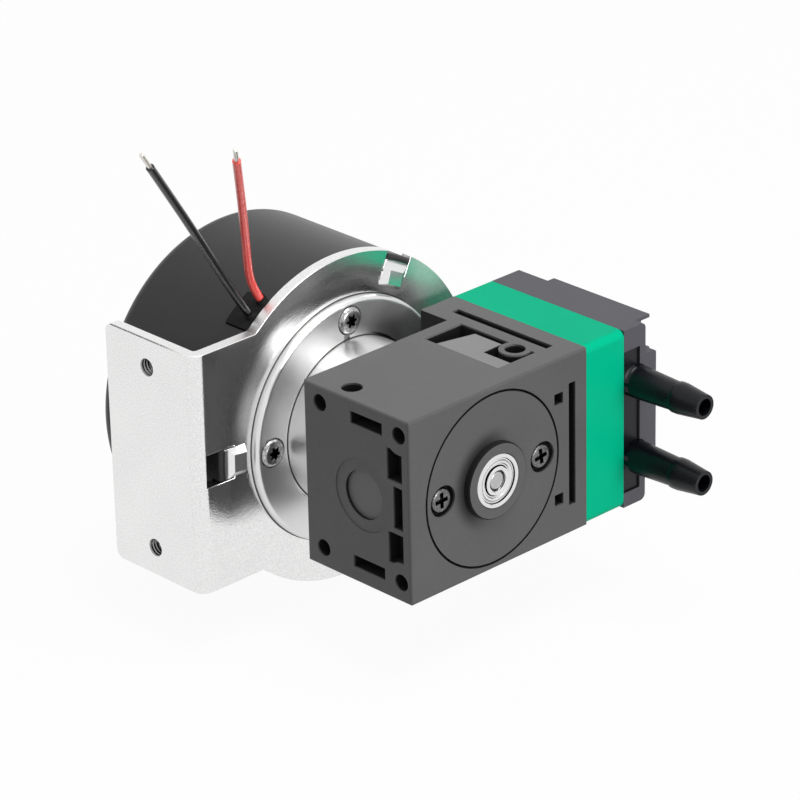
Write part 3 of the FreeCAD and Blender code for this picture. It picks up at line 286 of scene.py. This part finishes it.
bracketLook = {
    # the last tone is for painted shade lines by the adapter and along the flange's top edge
    "dark": 0.68, "light": 0.94, "warm": 0.004, "holeTone": 0.28, "shadeLineTone": 0.05,
    "cloud": 9.0, "wave": 2.4, "scuff": 1.6, "spangle": 0.24, "grain": 0.16,     # sizes in mm
    "roughness": 0.06, "relief": 14.0,
    "holeZ": 13.8, "holeR": 1.32, "threadScale": 0.63, "threadRise": 11.0,
    "adapterShadeR": (18.10, 18.30),             # a painted shade line on the plate around the adapter
    "rimR": 24.28, "rimX": 11.6, "topZ": 17.99, "rimRoughness": 0.24,
    # painted shade line along the flange's top edge
    "edgeShadeZ": 17.96, "edgeShadeX": 0.26, "edgeShadeY": (-8.0, -2.0),
    "dishR": (17.0, 22.8), "dishRise": 18.0, "hazyX": (36.0, 44.0), "hazyRoughness": 0.24,
}


def platedSteel():
    look = bracketLook
    f = Finish("platedSteel", Metallic=1.0)
    fromShaft = f.radius(x=shaftX, z=0.0)
    cloud = f.noise(look["cloud"], 3.0)
    grain = f.noise(look["grain"], 3.0)
    scuff = f.ramp(f.noise(look["scuff"], 4.0, (1.0, 1.0, 0.12)), 0.60, 0.78)
    spangle = f.noise(look["spangle"], 2.0)
    tapped = f.least([f.radius(y=0.0, z=side * look["holeZ"]) for side in (-1, 1)]) < look["holeR"]
    # painted shade: a dark line on the plate around the adapter's rim
    adapterShade = f.within(fromShaft, *look["adapterShadeR"]) * (f.y < plateY + 0.05)
    threads = f.node("ShaderNodeTexWave", {"bands_direction": "X"},
                     {"Vector": f.place, "Scale": look["threadScale"]})
    pale = cloud * 0.3 + grain * 0.3 + f.ramp(spangle, 0.3, 0.7) * 0.4
    steel = f.blendColour(pale, grey(look["dark"]), grey(look["light"], look["warm"]))
    steel = f.blendColour(tapped, steel, grey(look["holeTone"]))
    edgeShade = (f.z > look["edgeShadeZ"]) * (f.x < look["edgeShadeX"])      # painted shade, speckled, along the flange's sheared top edge
    edgeShade = edgeShade * f.ramp(f.y, *look["edgeShadeY"]) * f.ramp(grain, 0.30, 0.50)
    steel = f.blendColour(edgeShade * 0.85, steel, grey(look["shadeLineTone"]))
    rim = (fromShaft > look["rimR"]) * (f.x > look["rimX"]) * (f.y > plateY + 0.12)
    rim = rim + (f.z > look["topZ"]) * (f.x < look["rimX"])
    face = f.x < 0.03                                   # the flange's outer face is smoother
    dish = f.ramp(fromShaft, *look["dishR"])            # the sheet dips a little towards the adapter
    hazy = f.ramp(f.x, *look["hazyX"])
    f.give("Base Color", f.blendColour(adapterShade, steel, grey(look["shadeLineTone"])))
    rough = look["roughness"] + cloud * 0.04 + grain * 0.14 + scuff * 0.05
    f.give("Roughness", rough + rim * look["rimRoughness"] + hazy * look["hazyRoughness"])
    fine = (grain * 0.8 + spangle * 1.25) * (1 - face * 0.55) + f.noise(look["wave"], 2.0) * 0.6
    f.bump(fine + tapped * threads * look["threadRise"] + dish * look["dishRise"], look["relief"])
    return f.material


canLook = {
    "dark": 0.014, "light": 0.024, "rubTone": 0.038, "bareTone": 0.80,
    "roughness": 0.31, "bareRoughness": 0.16, "relief": 6.0,
    "foldR": 23.1, "bareDepth": 1.78,     # the crimp tabs are bare steel past their fold
}


def canCoat():
    look = canLook
    f = Finish("canCoat")
    f.give("Specular IOR Level", 0.34)
    fold = f.radius(x=shaftX, z=0.0) > look["foldR"]
    bare = (f.y < plateY + look["bareDepth"]) * (1 - fold)
    grain = f.noise(0.16, 2.0)
    cloud = f.noise(6.0, 3.0)
    rub = f.ramp(f.noise(0.9, 5.0), 0.66, 0.74) * 0.35
    coat = f.blendColour(cloud, grey(look["dark"]), grey(look["light"]))
    coat = f.blendColour(rub, coat, grey(look["rubTone"]))
    f.give("Base Color", f.blendColour(bare, coat, grey(look["bareTone"])))
    f.give("Metallic", bare)
    coatRough = look["roughness"] + grain * 0.14
    f.give("Roughness", (1 - bare) * coatRough + bare * look["bareRoughness"])
    f.bump(grain * (1.2 - bare), look["relief"])
    return f.material


adapterLook = {
    "dark": 0.66, "light": 0.82, "creaseShadeTone": 0.10, "roughness": 0.24, "polish": 0.65, "relief": 6.0,
    "markWidth": 0.08, "bandWidth": 0.9,
    "stepDepth": 1.25, "creaseShadeR": (12.36, 12.56), "polishedR": (12.56, 12.85),     # painted shade in the crease at the boss's foot, and a polished band beside it
}


def turnedAluminium():
    look = adapterLook
    f = Finish("turnedAluminium", Metallic=1.0)
    fromShaft = f.radius(x=shaftX, z=0.0)
    marks = f.ringNoise(fromShaft, look["markWidth"])
    wide = f.ringNoise(fromShaft, look["bandWidth"], 1.0)
    stain = f.noise(4.0, 4.0)
    step = f.y > plateY - look["stepDepth"]
    # painted shade: a dark ring in the crease at the boss's foot
    creaseShade = f.within(fromShaft, *look["creaseShadeR"]) * step
    polished = f.within(fromShaft, *look["polishedR"]) * step
    bright = f.blendColour(stain, grey(look["dark"]), grey(look["light"]))
    f.give("Base Color", f.blendColour(creaseShade, bright, grey(look["creaseShadeTone"])))
    rough = look["roughness"] + marks * 0.12 + stain * 0.08
    f.give("Roughness", rough * (1 - polished * look["polish"]))
    f.bump(marks + wide * 0.8 + f.noise(0.25) * 1.6, look["relief"])
    return f.material


def moulded(name, dark, light, roughness, grainSize=0.14, grainHeight=7.0, **fixed):
    f = Finish(name, **fixed)
    grain = f.noise(grainSize, 2.0)
    cloud = f.noise(7.0, 3.0)
    f.give("Base Color", f.blendColour(cloud * 0.6 + grain * 0.4, dark, light))
    f.give("Roughness", roughness + (grain - 0.5) * 0.12)
    f.bump(grain + cloud * 0.5, grainHeight)
    return f.material


caseLook = {
    "dark": 0.088, "light": 0.160, "raisedTone": 0.26, "discTone": 0.19, "paintedShadeTone": 0.0012,
    "cloud": 7.0, "mottle": 0.6, "grain": 0.13, "roughness": 0.50, "relief": 12.0,
    # painted shade: the front face is blended towards black by this share
    "frontDepth": 0.36, "frontShade": 0.24,
    "endX": 12.17, "halfZ": 13.7, "rearY": -18.31,           # outer faces
    "collarX": 39.67, "collarRearY": -13.01, "jointX": 46.37,
    "rearEndX": 39.7, "collarFrontY": -18.36, "beyond": 9.0,
    "inside": (0.15, 0.40),                                  # depth over which painted shade turns the pockets black
    "discY": -29.70, "discR": 3.57, "discX": 13.5,
    "gapShadeR": (12.53, 12.89), "gapShadeDepth": 0.4, "wallShadeR": (5.42, 5.80),      # painted shade in the gap and on the boss's side wall around the front cover
    # painted shadow on the cover beside the boss, towards its upper left
    "bossShadowR": (8.2, 5.6), "bossShadowSlope": 0.35, "bossShadowX": (-2.5, 4.5),
    "collarShadeX": (39.60, 39.74), "collarShadeY": -18.30,            # painted shade on the collar's side, near the adapter
    "raisedX": (33.05, 40.30), "raisedY": (-34.97, -20.53), "raisedZ": (13.48, 13.62),
}


def caseMoulding():   # painted shade: the moulding is painted near-black deep inside its pockets, holes and gaps, on the boss's wall around the front cover and beside the collar, with a painted shadow left of the boss and a darker front face
    look = caseLook
    f = Finish("caseMoulding")
    f.give("Specular IOR Level", 0.35)
    fromShaft = f.radius(x=shaftX, z=0.0)
    grain = f.noise(look["grain"], 2.0)
    cloud = f.noise(look["cloud"], 3.0)
    pastRear = (f.x > look["rearEndX"]) * look["beyond"]         # two of the planes count only where
    pastCollar = (f.y < look["collarFrontY"]) * look["beyond"]   # they are outer faces
    depth = f.least([
        f.x - look["endX"], f.y - caseFrontY, look["halfZ"] - f.z, f.z + look["halfZ"],
        f.off(f.y, look["rearY"]) + pastRear, f.off(f.x, look["collarX"]) + pastCollar,
        f.off(f.y, look["collarRearY"]), f.off(f.x, look["jointX"]),
    ])
    disc = (f.radius(y=look["discY"], z=0.0) < look["discR"]) * (f.x < look["discX"])
    # painted shade: deep in the pockets and holes the moulding is blended to near-black
    pocketShade = f.ramp(depth, *look["inside"]) * (1 - disc)
    # painted shade: the gap around the front cover and the boss's side wall are painted dark
    gapShade = f.within(fromShaft, *look["gapShadeR"]) * (f.y < caseFrontY + look["gapShadeDepth"])
    wallShade = f.within(fromShaft, *look["wallShadeR"]) * (f.y < caseFrontY - 0.03)
    # painted shadow on the cover around the boss, stronger towards its upper left
    bossShadow = f.ramp(fromShaft, *look["bossShadowR"]) * (f.y > caseFrontY - 0.03)
    bossShadow = bossShadow * f.ramp(shaftX - f.x + f.z * look["bossShadowSlope"], *look["bossShadowX"])
    # painted shade on the collar's side
    collarShade = (f.y > look["collarShadeY"]) * f.within(f.x, *look["collarShadeX"])
    # painted shade and painted shadow together, blended towards near-black below
    shade = 1 - (1 - pocketShade) * (1 - gapShade) * (1 - wallShade) * (1 - bossShadow * 0.85) * (1 - collarShade * 0.9)
    raised = f.within(f.x, *look["raisedX"]) * f.within(f.y, *look["raisedY"])
    raised = raised * f.within(f.z, *look["raisedZ"])
    # painted shade: the front face is darkened a little
    front = (f.y < caseFrontY + look["frontDepth"]) * look["frontShade"]
    mottle = f.noise(look["mottle"], 3.0)
    mixed = cloud * 0.3 + grain * 0.4 + mottle * 0.3
    tone = f.blendColour(mixed, grey(look["dark"]), grey(look["light"]))
    tone = f.blendColour(raised, tone, grey(look["raisedTone"]))
    tone = f.blendColour(disc, tone, grey(look["discTone"]))
    tone = f.blendColour(front, tone, grey(0.0))
    f.give("Base Color", f.blendColour(shade, tone, grey(look["paintedShadeTone"])))
    f.give("Roughness", look["roughness"] + (grain - 0.5) * 0.14 + shade * 0.4)
    f.bump(grain + cloud * 0.5 + mottle * 0.3, look["relief"])
    return f.material


def groundSteel(name, tone, roughness, markHeight, shadeRings=()):   # (radius, width) of dark rings, painted shade in the bearing's gaps and grooves and on the shaft's chamfer
    f = Finish(name, Metallic=1.0)
    fromShaft = f.radius(x=shaftX, z=0.0)
    marks = f.ringNoise(fromShaft, 0.07)
    smear = f.noise(0.8, 3.0)
    steel = f.blendColour(smear, grey(tone * 0.90), grey(tone))
    for place, width in shadeRings:
        # painted shade: a dark ring
        line = f.within(fromShaft, place - width / 2, place + width / 2)
        steel = f.blendColour(line, steel, grey(0.04))
    f.give("Base Color", steel)
    f.give("Roughness", roughness + marks * 0.06 + smear * 0.04)
    f.bump(marks, markHeight)
    return f.material


screwSpots = {   # distances of the screws from the axes that they stand around, in mm
    "adapter": 15.2, "cover": 9.6, "headY": 6.82, "headZ": 10.7, "lidY": 4.6, "lidZ": -0.5,
}
screwLook = {
    "bright": (0.28, 0.58), "dull": (0.12, 0.25), "recessShadeTone": 0.015, "roughness": 0.26, "relief": 8.0,
    "adapterR": 1.12, "adapterY": (-11.36, plateY),
    "coverR": 1.24, "coverY": (-38.57, caseFrontY + 2.0),
    "headR": 1.2, "headX": (58.5, 59.88), "lidR": 1.05, "lidX": (59.85, 60.69),
}


def screwSteel():   # the drive recesses are painted black as painted shade, and the cover's screws darker than the others
    look = screwLook
    f = Finish("screwSteel", Metallic=1.0)
    grain = f.noise(0.18, 4.0)
    wear = f.ramp(f.noise(0.24, 4.0), 0.46, 0.62)
    far, sides = screwSpots["adapter"], (-1, 1)
    corners = [(far, 0.0), (0.0, far), (-far, 0.0), (0.0, -far)]
    aroundAdapter = [f.radius(x=shaftX + x, z=z) for x, z in corners]
    aroundCover = [f.radius(x=shaftX + side * screwSpots["cover"], z=0.0) for side in sides]
    aroundHead = [f.radius(y=headMiddleY + sideY * screwSpots["headY"], z=sideZ * screwSpots["headZ"])
                  for sideY in sides for sideZ in sides]
    aroundLid = [f.radius(y=headMiddleY + side * screwSpots["lidY"], z=screwSpots["lidZ"])
                 for side in sides]
    # painted shade: the drive recesses are blended to near-black
    recess = (f.least(aroundAdapter) < look["adapterR"]) * f.within(f.y, *look["adapterY"])
    recess = recess + (f.least(aroundCover) < look["coverR"]) * f.within(f.y, *look["coverY"])
    recess = recess + (f.least(aroundHead) < look["headR"]) * f.within(f.x, *look["headX"])
    recess = recess + (f.least(aroundLid) < look["lidR"]) * f.within(f.x, *look["lidX"])
    bright, dull = [f.blendColour(wear, *map(grey, look[kind])) for kind in ("bright", "dull")]
    steel = f.blendColour(f.y < look["coverY"][1], bright, dull)
    f.give("Base Color", f.blendColour(recess, steel, grey(look["recessShadeTone"])))
    f.give("Roughness", look["roughness"] + grain * 0.14 - wear * 0.06)
    f.bump(grain, look["relief"])
    return f.material


def metal(name, colour, roughness, size=0.5):
    f = Finish(name, Metallic=1.0)
    grain = f.noise(size, 4.0)
    f.give("Base Color", f.blendColour(grain, [c * 0.85 for c in colour], colour))
    f.give("Roughness", roughness + grain * 0.12)
    f.bump(grain, 3.0)
    return f.material


def windings():
    f = Finish("copperWindings", Metallic=1.0)
    turns = f.node("ShaderNodeTexWave", {"wave_type": "RINGS", "rings_direction": "Y"},
                   {"Vector": f.place, "Scale": 1.1, "Distortion": 0.6, "Detail": 1.0})
    f.give("Base Color", f.blendColour(turns, (0.30, 0.08, 0.025), (0.72, 0.30, 0.11)))
    f.give("Roughness", 0.22 + turns * 0.1)
    f.bump(turns, 60.0)
    return f.material


def laminations():
    f = Finish("statorLaminations", Metallic=0.9)
    sheets = f.node("ShaderNodeTexWave", {"bands_direction": "Y"}, {"Vector": f.place, "Scale": 0.62})
    f.give("Base Color", f.blendColour(sheets, grey(0.16), grey(0.42)))
    f.give("Roughness", 0.38 + f.noise(0.4) * 0.12)
    f.bump(sheets, 40.0)
    return f.material


def insulation(name, colour):
    f = Finish(name)
    f.give("Coat Weight", 0.35)
    wisp = f.noise(0.7, 2.0, (1.0, 1.0, 0.3))
    f.give("Base Color", f.blendColour(wisp, [c * 0.8 for c in colour], colour))
    f.give("Roughness", 0.22 + wisp * 0.12)
    f.bump(f.noise(0.25, 2.0), 6.0)
    return f.material


finishes = {
    "bracket": platedSteel(),
    "can": canCoat(),
    "adapter": turnedAluminium(),
    "case_plastic": caseMoulding(),
    "green_plastic": moulded("greenMoulding", (0.0, 0.47, 0.250), (0.0, 0.56, 0.305), 0.45, 0.3, 3.0,
                             **{"Specular IOR Level": 0.04}),
    "head_plastic": moulded("headMoulding", (0.048, 0.048, 0.060), (0.070, 0.070, 0.086), 0.48),
    "port_plastic": moulded("portMoulding", (0.0022, 0.0025, 0.0045), (0.005, 0.0055, 0.009),
                            0.34, 0.2, 3.0, **{"Specular IOR Level": 0.26}),
    "grommet": moulded("grommetMoulding", grey(0.003), grey(0.008), 0.6,
                       **{"Specular IOR Level": 0.15}),
    "black_insulation": insulation("blackInsulation", (0.005, 0.005, 0.006)),
    "red_insulation": insulation("redInsulation", (1.0, 0.10, 0.085)),
    "tinned_strand": metal("tinnedStrand", (0.80, 0.77, 0.72), 0.25, 0.1),
    "screw_steel": screwSteel(),
    # the bearing's and the shaft's dark rings are painted shade
    "bearing_steel": groundSteel("bearingSteel", 0.80, 0.14, 1.6,
                                 [(2.21, 0.17), (2.92, 0.07), (3.29, 0.10)]),
    "shaft_steel": groundSteel("shaftSteel", 0.50, 0.18, 3.0, [(1.30, 0.12)]),
    "tube_brass": metal("turnedBrass", (0.80, 0.58, 0.26), 0.18),
    "board": moulded("boardMask", (0.010, 0.075, 0.030), (0.016, 0.110, 0.045), 0.28, 0.5, 4.0),
    "core_steel": laminations(),
    "copper_wire": windings(),
    "rotor_steel": metal("drawnSteel", grey(0.62), 0.26, 1.2),
    "magnet": moulded("magnetCoat", grey(0.05), grey(0.08), 0.35, 0.2, 3.0),
    "eccentric_steel": groundSteel("eccentricSteel", 0.62, 0.20, 3.0),
    "rod_plastic": moulded("rodMoulding", (0.62, 0.60, 0.54), (0.72, 0.70, 0.64), 0.42),
    "membrane": moulded("membraneRubber", grey(0.012), grey(0.022), 0.62, 0.1, 5.0),
    "clamp_aluminium": metal("clampAluminium", grey(0.84), 0.2),
    "seal_rubber": moulded("sealRubber", grey(0.010), grey(0.018), 0.55),
    "valve_rubber": moulded("valveRubber", grey(0.025), grey(0.040), 0.60),
}
bodies = frame["record"]["behaviour"]["bodies"]
bodyOf = {node: body for body, names in bodies.items() for node in names}
slotOf = {part["node"]: part["material_slot"] for part in frame["record"]["subparts"]}
print("finishes done:", len(finishes))


# The two leads, on the listed routes of the CAD source

leads = {
    "diameter": 1.2,
    "black": [
        (12.92, -6.75, 19.97), (11.72, -6.75, 21.56), (10.15, -6.35, 24.36), (7.28, -6.55, 28.90),
        (2.78, -7.55, 35.59), (-1.75, -8.85, 41.76), (-6.54, -10.55, 47.95),
    ],
    "blackLength": 34.48,
    "red": [
        (15.09, -6.75, 21.43), (14.16, -6.75, 22.97), (13.35, -6.65, 25.30), (11.75, -8.15, 30.56),
        (8.62, -11.35, 36.94), (5.08, -14.95, 43.00), (1.36, -18.75, 48.79),
    ],
    "redLength": 33.46,
}


def addLead(colour):
    route = [[c * mm for c in point] for point in leads[colour]]
    curve = bpy.data.curves.new(colour + "Lead", "CURVE")
    curve.dimensions = "3D"
    curve.bevel_depth = leads["diameter"] * mm / 2
    curve.bevel_resolution = 6
    curve.use_fill_caps = True
    line = curve.splines.new("NURBS")
    line.points.add(len(route) - 1)
    for knot, point in zip(line.points, route):
        knot.co = (*point, 1)
    line.order_u = 3
    line.use_endpoint_u = True
    line.resolution_u = 16
    lead = bpy.data.objects.new(colour + "Lead", curve)
    bpy.context.collection.objects.link(lead)
    curve.materials.append(finishes[colour + "_insulation"])
    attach(lead, "housing")
    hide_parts("lead_" + colour)


addLead("black")
addLead("red")
print("leads done")


# Carried-over CAD nodes take their finishes

for node, obj in nodes.items():
    obj.data.materials.clear()
    obj.data.materials.append(finishes[slotOf[node]])


# Mesh helpers

def addPiece(name, bm, finish, body, replaced, sharp=35.0):
    mesh = bpy.data.meshes.new(name)
    bm.to_mesh(mesh)
    bm.free()
    for face in mesh.polygons:
        face.use_smooth = True
    mesh.set_sharp_from_angle(angle=radians(sharp))
    mesh.materials.append(finish)
    piece = bpy.data.objects.new(name, mesh)
    bpy.context.collection.objects.link(piece)
    weighted = piece.modifiers.new("weightedNormals", "WEIGHTED_NORMAL")
    weighted.keep_sharp = True
    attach(piece, body)
    if replaced:
        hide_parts(*replaced)
    return piece


crimpTab = {   # the bent end of each tab narrows towards its top
    "angles": (63.0, 179.0, 300.0), "reach": (19.2, 22.5), "halfWidth": 2.3,
    "topReach": (19.75, 21.7), "topWidth": 0.60,
}


def narrowTabs(bm):
    low, high = crimpTab["reach"]
    topLow, topHigh = crimpTab["topReach"]
    for angle in crimpTab["angles"]:
        out = Vector((cos(radians(angle)), 0, sin(radians(angle))))
        across = Vector((-out.z, 0, out.x))
        for vert in bm.verts:
            spot = vert.co / mm - Vector((shaftX, 0, 0))
            along, aside = spot.dot(out), spot.dot(across)
            if spot.y < plateY - 0.3 and low < along < high and abs(aside) < crimpTab["halfWidth"]:
                newAlong = topLow if along < (low + high) / 2 else topHigh
                vert.co += (out * (newAlong - along) + across * aside * (crimpTab["topWidth"] - 1)) * mm


merging = {"doubles": 2e-6, "flat": 0.6, "corner": 38.0}   # metres, and angles in degrees


def softenedCopy(name, node, radius):
    bm = bmesh.new()
    bm.from_mesh(nodes[node].data)
    bmesh.ops.remove_doubles(bm, verts=bm.verts, dist=merging["doubles"])
    bmesh.ops.dissolve_limit(bm, angle_limit=radians(merging["flat"]), verts=bm.verts, edges=bm.edges)
    if name == "motorCan":
        narrowTabs(bm)
    convex = [edge for edge in bm.edges if edge.is_manifold and edge.is_convex]
    corners = [edge for edge in convex if edge.calc_face_angle() > radians(merging["corner"])]
    if radius:
        bmesh.ops.bevel(bm, geom=corners, offset=radius * mm, offset_type="OFFSET", segments=2,
                        profile=0.5, affect="EDGES", clamp_overlap=True, material=-1)
    return addPiece(name, bm, finishes[slotOf[node]], bodyOf[node], [node])


softened = {   # piece: (CAD node, edge radius in mm); the adapter's rounding is in the CAD
    "bracketSheet": ("mounting_bracket", 0.14),
    "motorCan": ("motor_can", 0.12),
    "adapterRing": ("adapter_flange", 0.0),
    "crankcaseBody": ("crankcase", 0.10),
    "frontCover": ("front_cover", 0.06),
    "greenPlate": ("chamber_plate", 0.12),
    "headStrip": ("pump_head", 0.06),
    "headLid": ("head_cover", 0.06),
    "hosePorts": ("port_manifold", 0.08),
    "leadGrommet": ("lead_grommet", 0.10),
}
for pieceName, (node, radius) in softened.items():
    piece = softenedCopy(pieceName, node, radius)
    print(pieceName, len(piece.data.polygons), "faces")


# Screws, drawn out ring by ring from the tip into the recess

def crossShare(angle):
    own = (angle + pi / 4) % (pi / 2) - pi / 4
    return min(1 / cos(own), 0.27 / max(abs(sin(own)), 0.001))


recessShares = {   # radius share of the recess's outline at an angle
    "cross": crossShare,
    "lobed": lambda angle: 0.80 + 0.20 * cos(6 * angle),
    "hexagon": lambda angle: cos(pi / 6) / cos(angle % (pi / 3) - pi / 6),
}


def screwRings(screw):   # (height, radius, whether the ring has the recess's outline)
    head, shank, tall = screw["headR"], screw["shankR"], screw["headHeight"]
    reach, length = screw["reach"], screw["length"]
    rings = [(-length, shank * 0.75, False), (-length + shank * 0.25, shank, False), (0, shank, False)]
    if screw["head"] == "pan":
        flat = screw["flat"]
        rings += [(0, head * 0.97, False), (tall * 0.10, head, False)]
        crown = [(0.42, 1.0), (0.66, 0.883), (0.84, 0.633), (0.95, 0.3), (1.0, 0.0)]
        rings += [(tall * height, head * (flat + (1 - flat) * share), False) for height, share in crown]
    else:
        edge = tall * 0.12
        rings += [(0, head, False), (tall - edge, head, False),
                  (tall - edge * 0.3, head - edge * 0.3, False), (tall, head - edge, False)]
    rings += [(tall, reach, True), (tall * 0.95, reach * 0.95, True),
              (tall * (1 - screw["recess"]), reach * 0.82, True)]
    return rings


def addScrews(name, screw, node):
    bm = bmesh.new()
    out = Vector(screw["out"]).to_track_quat("Z", "Y").to_matrix().to_4x4()
    share = recessShares[screw["drive"]]
    for place, turn in screw["places"]:
        seat = Matrix.Translation(Vector(place) * mm) @ out @ Matrix.Rotation(radians(turn), 4, "Z")
        ring = bmesh.ops.create_circle(bm, cap_ends=True, radius=mm, segments=48)["verts"]
        verts, edges = [], []
        for height, radius, outlined in screwRings(screw):
            if verts:
                drawn = bmesh.ops.extrude_edge_only(bm, edges=edges)["geom"]
                ring = [item for item in drawn if isinstance(item, bmesh.types.BMVert)]
            for vert in ring:
                angle = atan2(vert.co.y, vert.co.x)
                reach = radius * (share(angle) if outlined else 1)
                vert.co = Vector((reach * cos(angle), reach * sin(angle), height)) * mm
            verts += ring
            edges = list({edge for vert in ring for edge in vert.link_edges if edge.is_boundary})
        bmesh.ops.edgeloop_fill(bm, edges=edges)
        bmesh.ops.transform(bm, matrix=seat, verts=verts)
    bmesh.ops.recalc_face_normals(bm, faces=bm.faces)
    return addPiece(name, bm, finishes[slotOf[node]], bodyOf[node], [node], 28.0)


adapterScrew = {
    "head": "pan", "flat": 0.70, "headR": 2.08, "headHeight": 1.28, "shankR": 1.2, "length": 2.05,
    "drive": "lobed", "reach": 1.12, "recess": 0.55, "out": (0, -1, 0),
    "places": [   # the seat of each screw, and its turn in degrees
        ((shaftX + screwSpots["adapter"] * cos(k * pi / 2), -10.15,
          screwSpots["adapter"] * sin(k * pi / 2)), 13 + 47 * k) for k in range(4)
    ],
}
coverScrew = {
    "head": "pan", "flat": 0.84, "headR": 1.83, "headHeight": 0.88, "shankR": 1.05, "length": 3.95,
    "drive": "cross", "reach": 1.22, "recess": 0.60, "out": (0, -1, 0),
    "places": [
        ((shaftX - screwSpots["cover"], -37.75, 0), 2),
        ((shaftX + screwSpots["cover"], -37.75, 0), 8),
    ],
}
headScrew = {
    "head": "cylinder", "headR": 2.08, "headHeight": 1.58, "shankR": 1.2, "length": 17.15,
    "drive": "hexagon", "reach": 1.15, "recess": 0.55, "out": (1, 0, 0),
    "places": [
        ((58.37, headMiddleY + sideY * screwSpots["headY"], sideZ * screwSpots["headZ"]),
         25 * (sideY > 0) + 9 * (sideZ > 0)) for sideY in (-1, 1) for sideZ in (-1, 1)
    ],
}
lidScrew = {
    "head": "cylinder", "headR": 1.85, "headHeight": 0.98, "shankR": 0.95, "length": 4.95,
    "drive": "hexagon", "reach": 1.0, "recess": 0.55, "out": (1, 0, 0),
    "places": [
        ((59.77, headMiddleY - screwSpots["lidY"], screwSpots["lidZ"]), 12),
        ((59.77, headMiddleY + screwSpots["lidY"], screwSpots["lidZ"]), 40),
    ],
}
addScrews("adapterScrews", adapterScrew, "adapter_screws")
addScrews("coverScrews", coverScrew, "cover_screws")
addScrews("headScrews", headScrew, "head_screws")
addScrews("lidScrews", lidScrew, "head_cover_screws")
print("screws done")


# Turned pieces around the shaft, or around the pump head's axis

lathes = {   # a point on the axis in mm, and its direction
    "shaft": ((shaftX, 0, 0), (0, 1, 0)),
    "head": ((0, headMiddleY, 0), (1, 0, 0)),
    "steps": 96,
}


def addTurned(name, node, profiles, closed=True, lathe="shaft", body=None, replaced=True):
    centre, axis = (Vector(part) for part in lathes[lathe])
    outwards = axis.yxz             # from the axis to the profile's plane
    bm = bmesh.new()
    for profile in profiles:        # of (radius, place along the axis) in mm
        verts = [bm.verts.new((centre + outwards * r + axis * along) * mm) for r, along in profile]
        following = verts[1:] + verts[:1] if closed else verts[1:]
        edges = [bm.edges.new(pair) for pair in zip(verts, following)]
        bmesh.ops.spin(bm, geom=verts + edges, cent=centre * mm, axis=axis, angle=2 * pi,
                       steps=lathes["steps"], use_merge=True)
    bmesh.ops.remove_doubles(bm, verts=bm.verts, dist=2e-7)
    bmesh.ops.recalc_face_normals(bm, faces=bm.faces)
    return addPiece(name, bm, finishes[slotOf[node]], body or bodyOf[node], [node] if replaced else (),
                    28.0)


coverBearing = {
    "front": -39.85, "width": 4.0, "inner": (1.515, 2.15), "outer": (3.3, 4.0), "edge": 0.13,
    "shieldInset": 0.2,
    "shield": [
        (2.26, 0.25), (2.26, 0.13), (2.46, 0.13), (2.58, 0.0),
        (3.02, 0.0), (3.08, 0.06), (3.26, 0.06), (3.26, 0.25),
    ],
}


def ringProfile(ring):
    small, large = coverBearing[ring]
    edge = coverBearing["edge"]
    front, back = coverBearing["front"], coverBearing["front"] + coverBearing["width"]
    return [(small + edge, front), (large - edge, front), (large, front + edge), (large, back - edge),
            (large - edge, back), (small + edge, back), (small, back - edge), (small, front + edge)]


def shieldProfiles():
    front = coverBearing["front"] + coverBearing["shieldInset"]
    back = 2 * coverBearing["front"] + coverBearing["width"] - front
    shield = coverBearing["shield"]
    return [[(r, front + y) for r, y in shield], [(r, back - y) for r, y in shield]]


addTurned("coverBearingOuter", "cover_bearing_outer", [ringProfile("outer")])
addTurned("coverBearingInner", "cover_bearing_inner", [ringProfile("inner")])
addTurned("coverBearingShields", "cover_bearing_shields", shieldProfiles())

shaft = {
    "profile": [   # chamfered at both ends
        (0.0, -39.60), (1.10, -39.60), (1.18, -39.57), (1.42, -39.36), (1.5, -39.20),
        (1.5, 13.20), (1.25, 13.45), (0.0, 13.45),
    ],
}
addTurned("motorShaft", "motor_shaft", [shaft["profile"]], closed=False)

rubber = {   # the diaphragm is split at its fold, since its middle moves with the rod
    "rimX": (45.37, 46.37), "rimR": (8.6, 11.1),
    "middleX": (44.07, 45.07), "middleR": (1.28, 5.5),
    "towardsMiddle": {"foldR": 7.05, "foldX": 44.07, "reach": -1.75, "rise": 0.5, "power": 2},
    "towardsRim": {"foldR": 6.6, "foldX": 43.1, "reach": 2.2, "rise": 2.77, "power": 3},   # laps behind
    "thickness": 0.5, "parts": 8, "edge": 0.12,
}


def membraneProfile(web):
    half, parts = rubber["thickness"] / 2, rubber["parts"]
    shares = [(k + 0.04) / (parts + 0.04) for k in range(parts + 1)]
    curve = [(web["foldR"] + web["reach"] * t, web["foldX"] + web["rise"] * t ** web["power"])
             for t in shares]
    return [(r, x - half) for r, x in curve] + [(r, x + half) for r, x in reversed(curve)]


def blockProfile(radii, places):
    (small, large), (low, high), edge = radii, places, rubber["edge"]
    return [(small, low), (large - edge, low), (large, low + edge),
            (large, high - edge), (large - edge, high), (small, high)]


middle = [membraneProfile(rubber["towardsMiddle"]), blockProfile(rubber["middleR"], rubber["middleX"])]
rim = [membraneProfile(rubber["towardsRim"]), blockProfile(rubber["rimR"], rubber["rimX"])]
addTurned("diaphragmMiddle", "diaphragm", middle, lathe="head", body="rod")
addTurned("diaphragmRim", "diaphragm", rim, lathe="head", replaced=False)
print("turned pieces done")
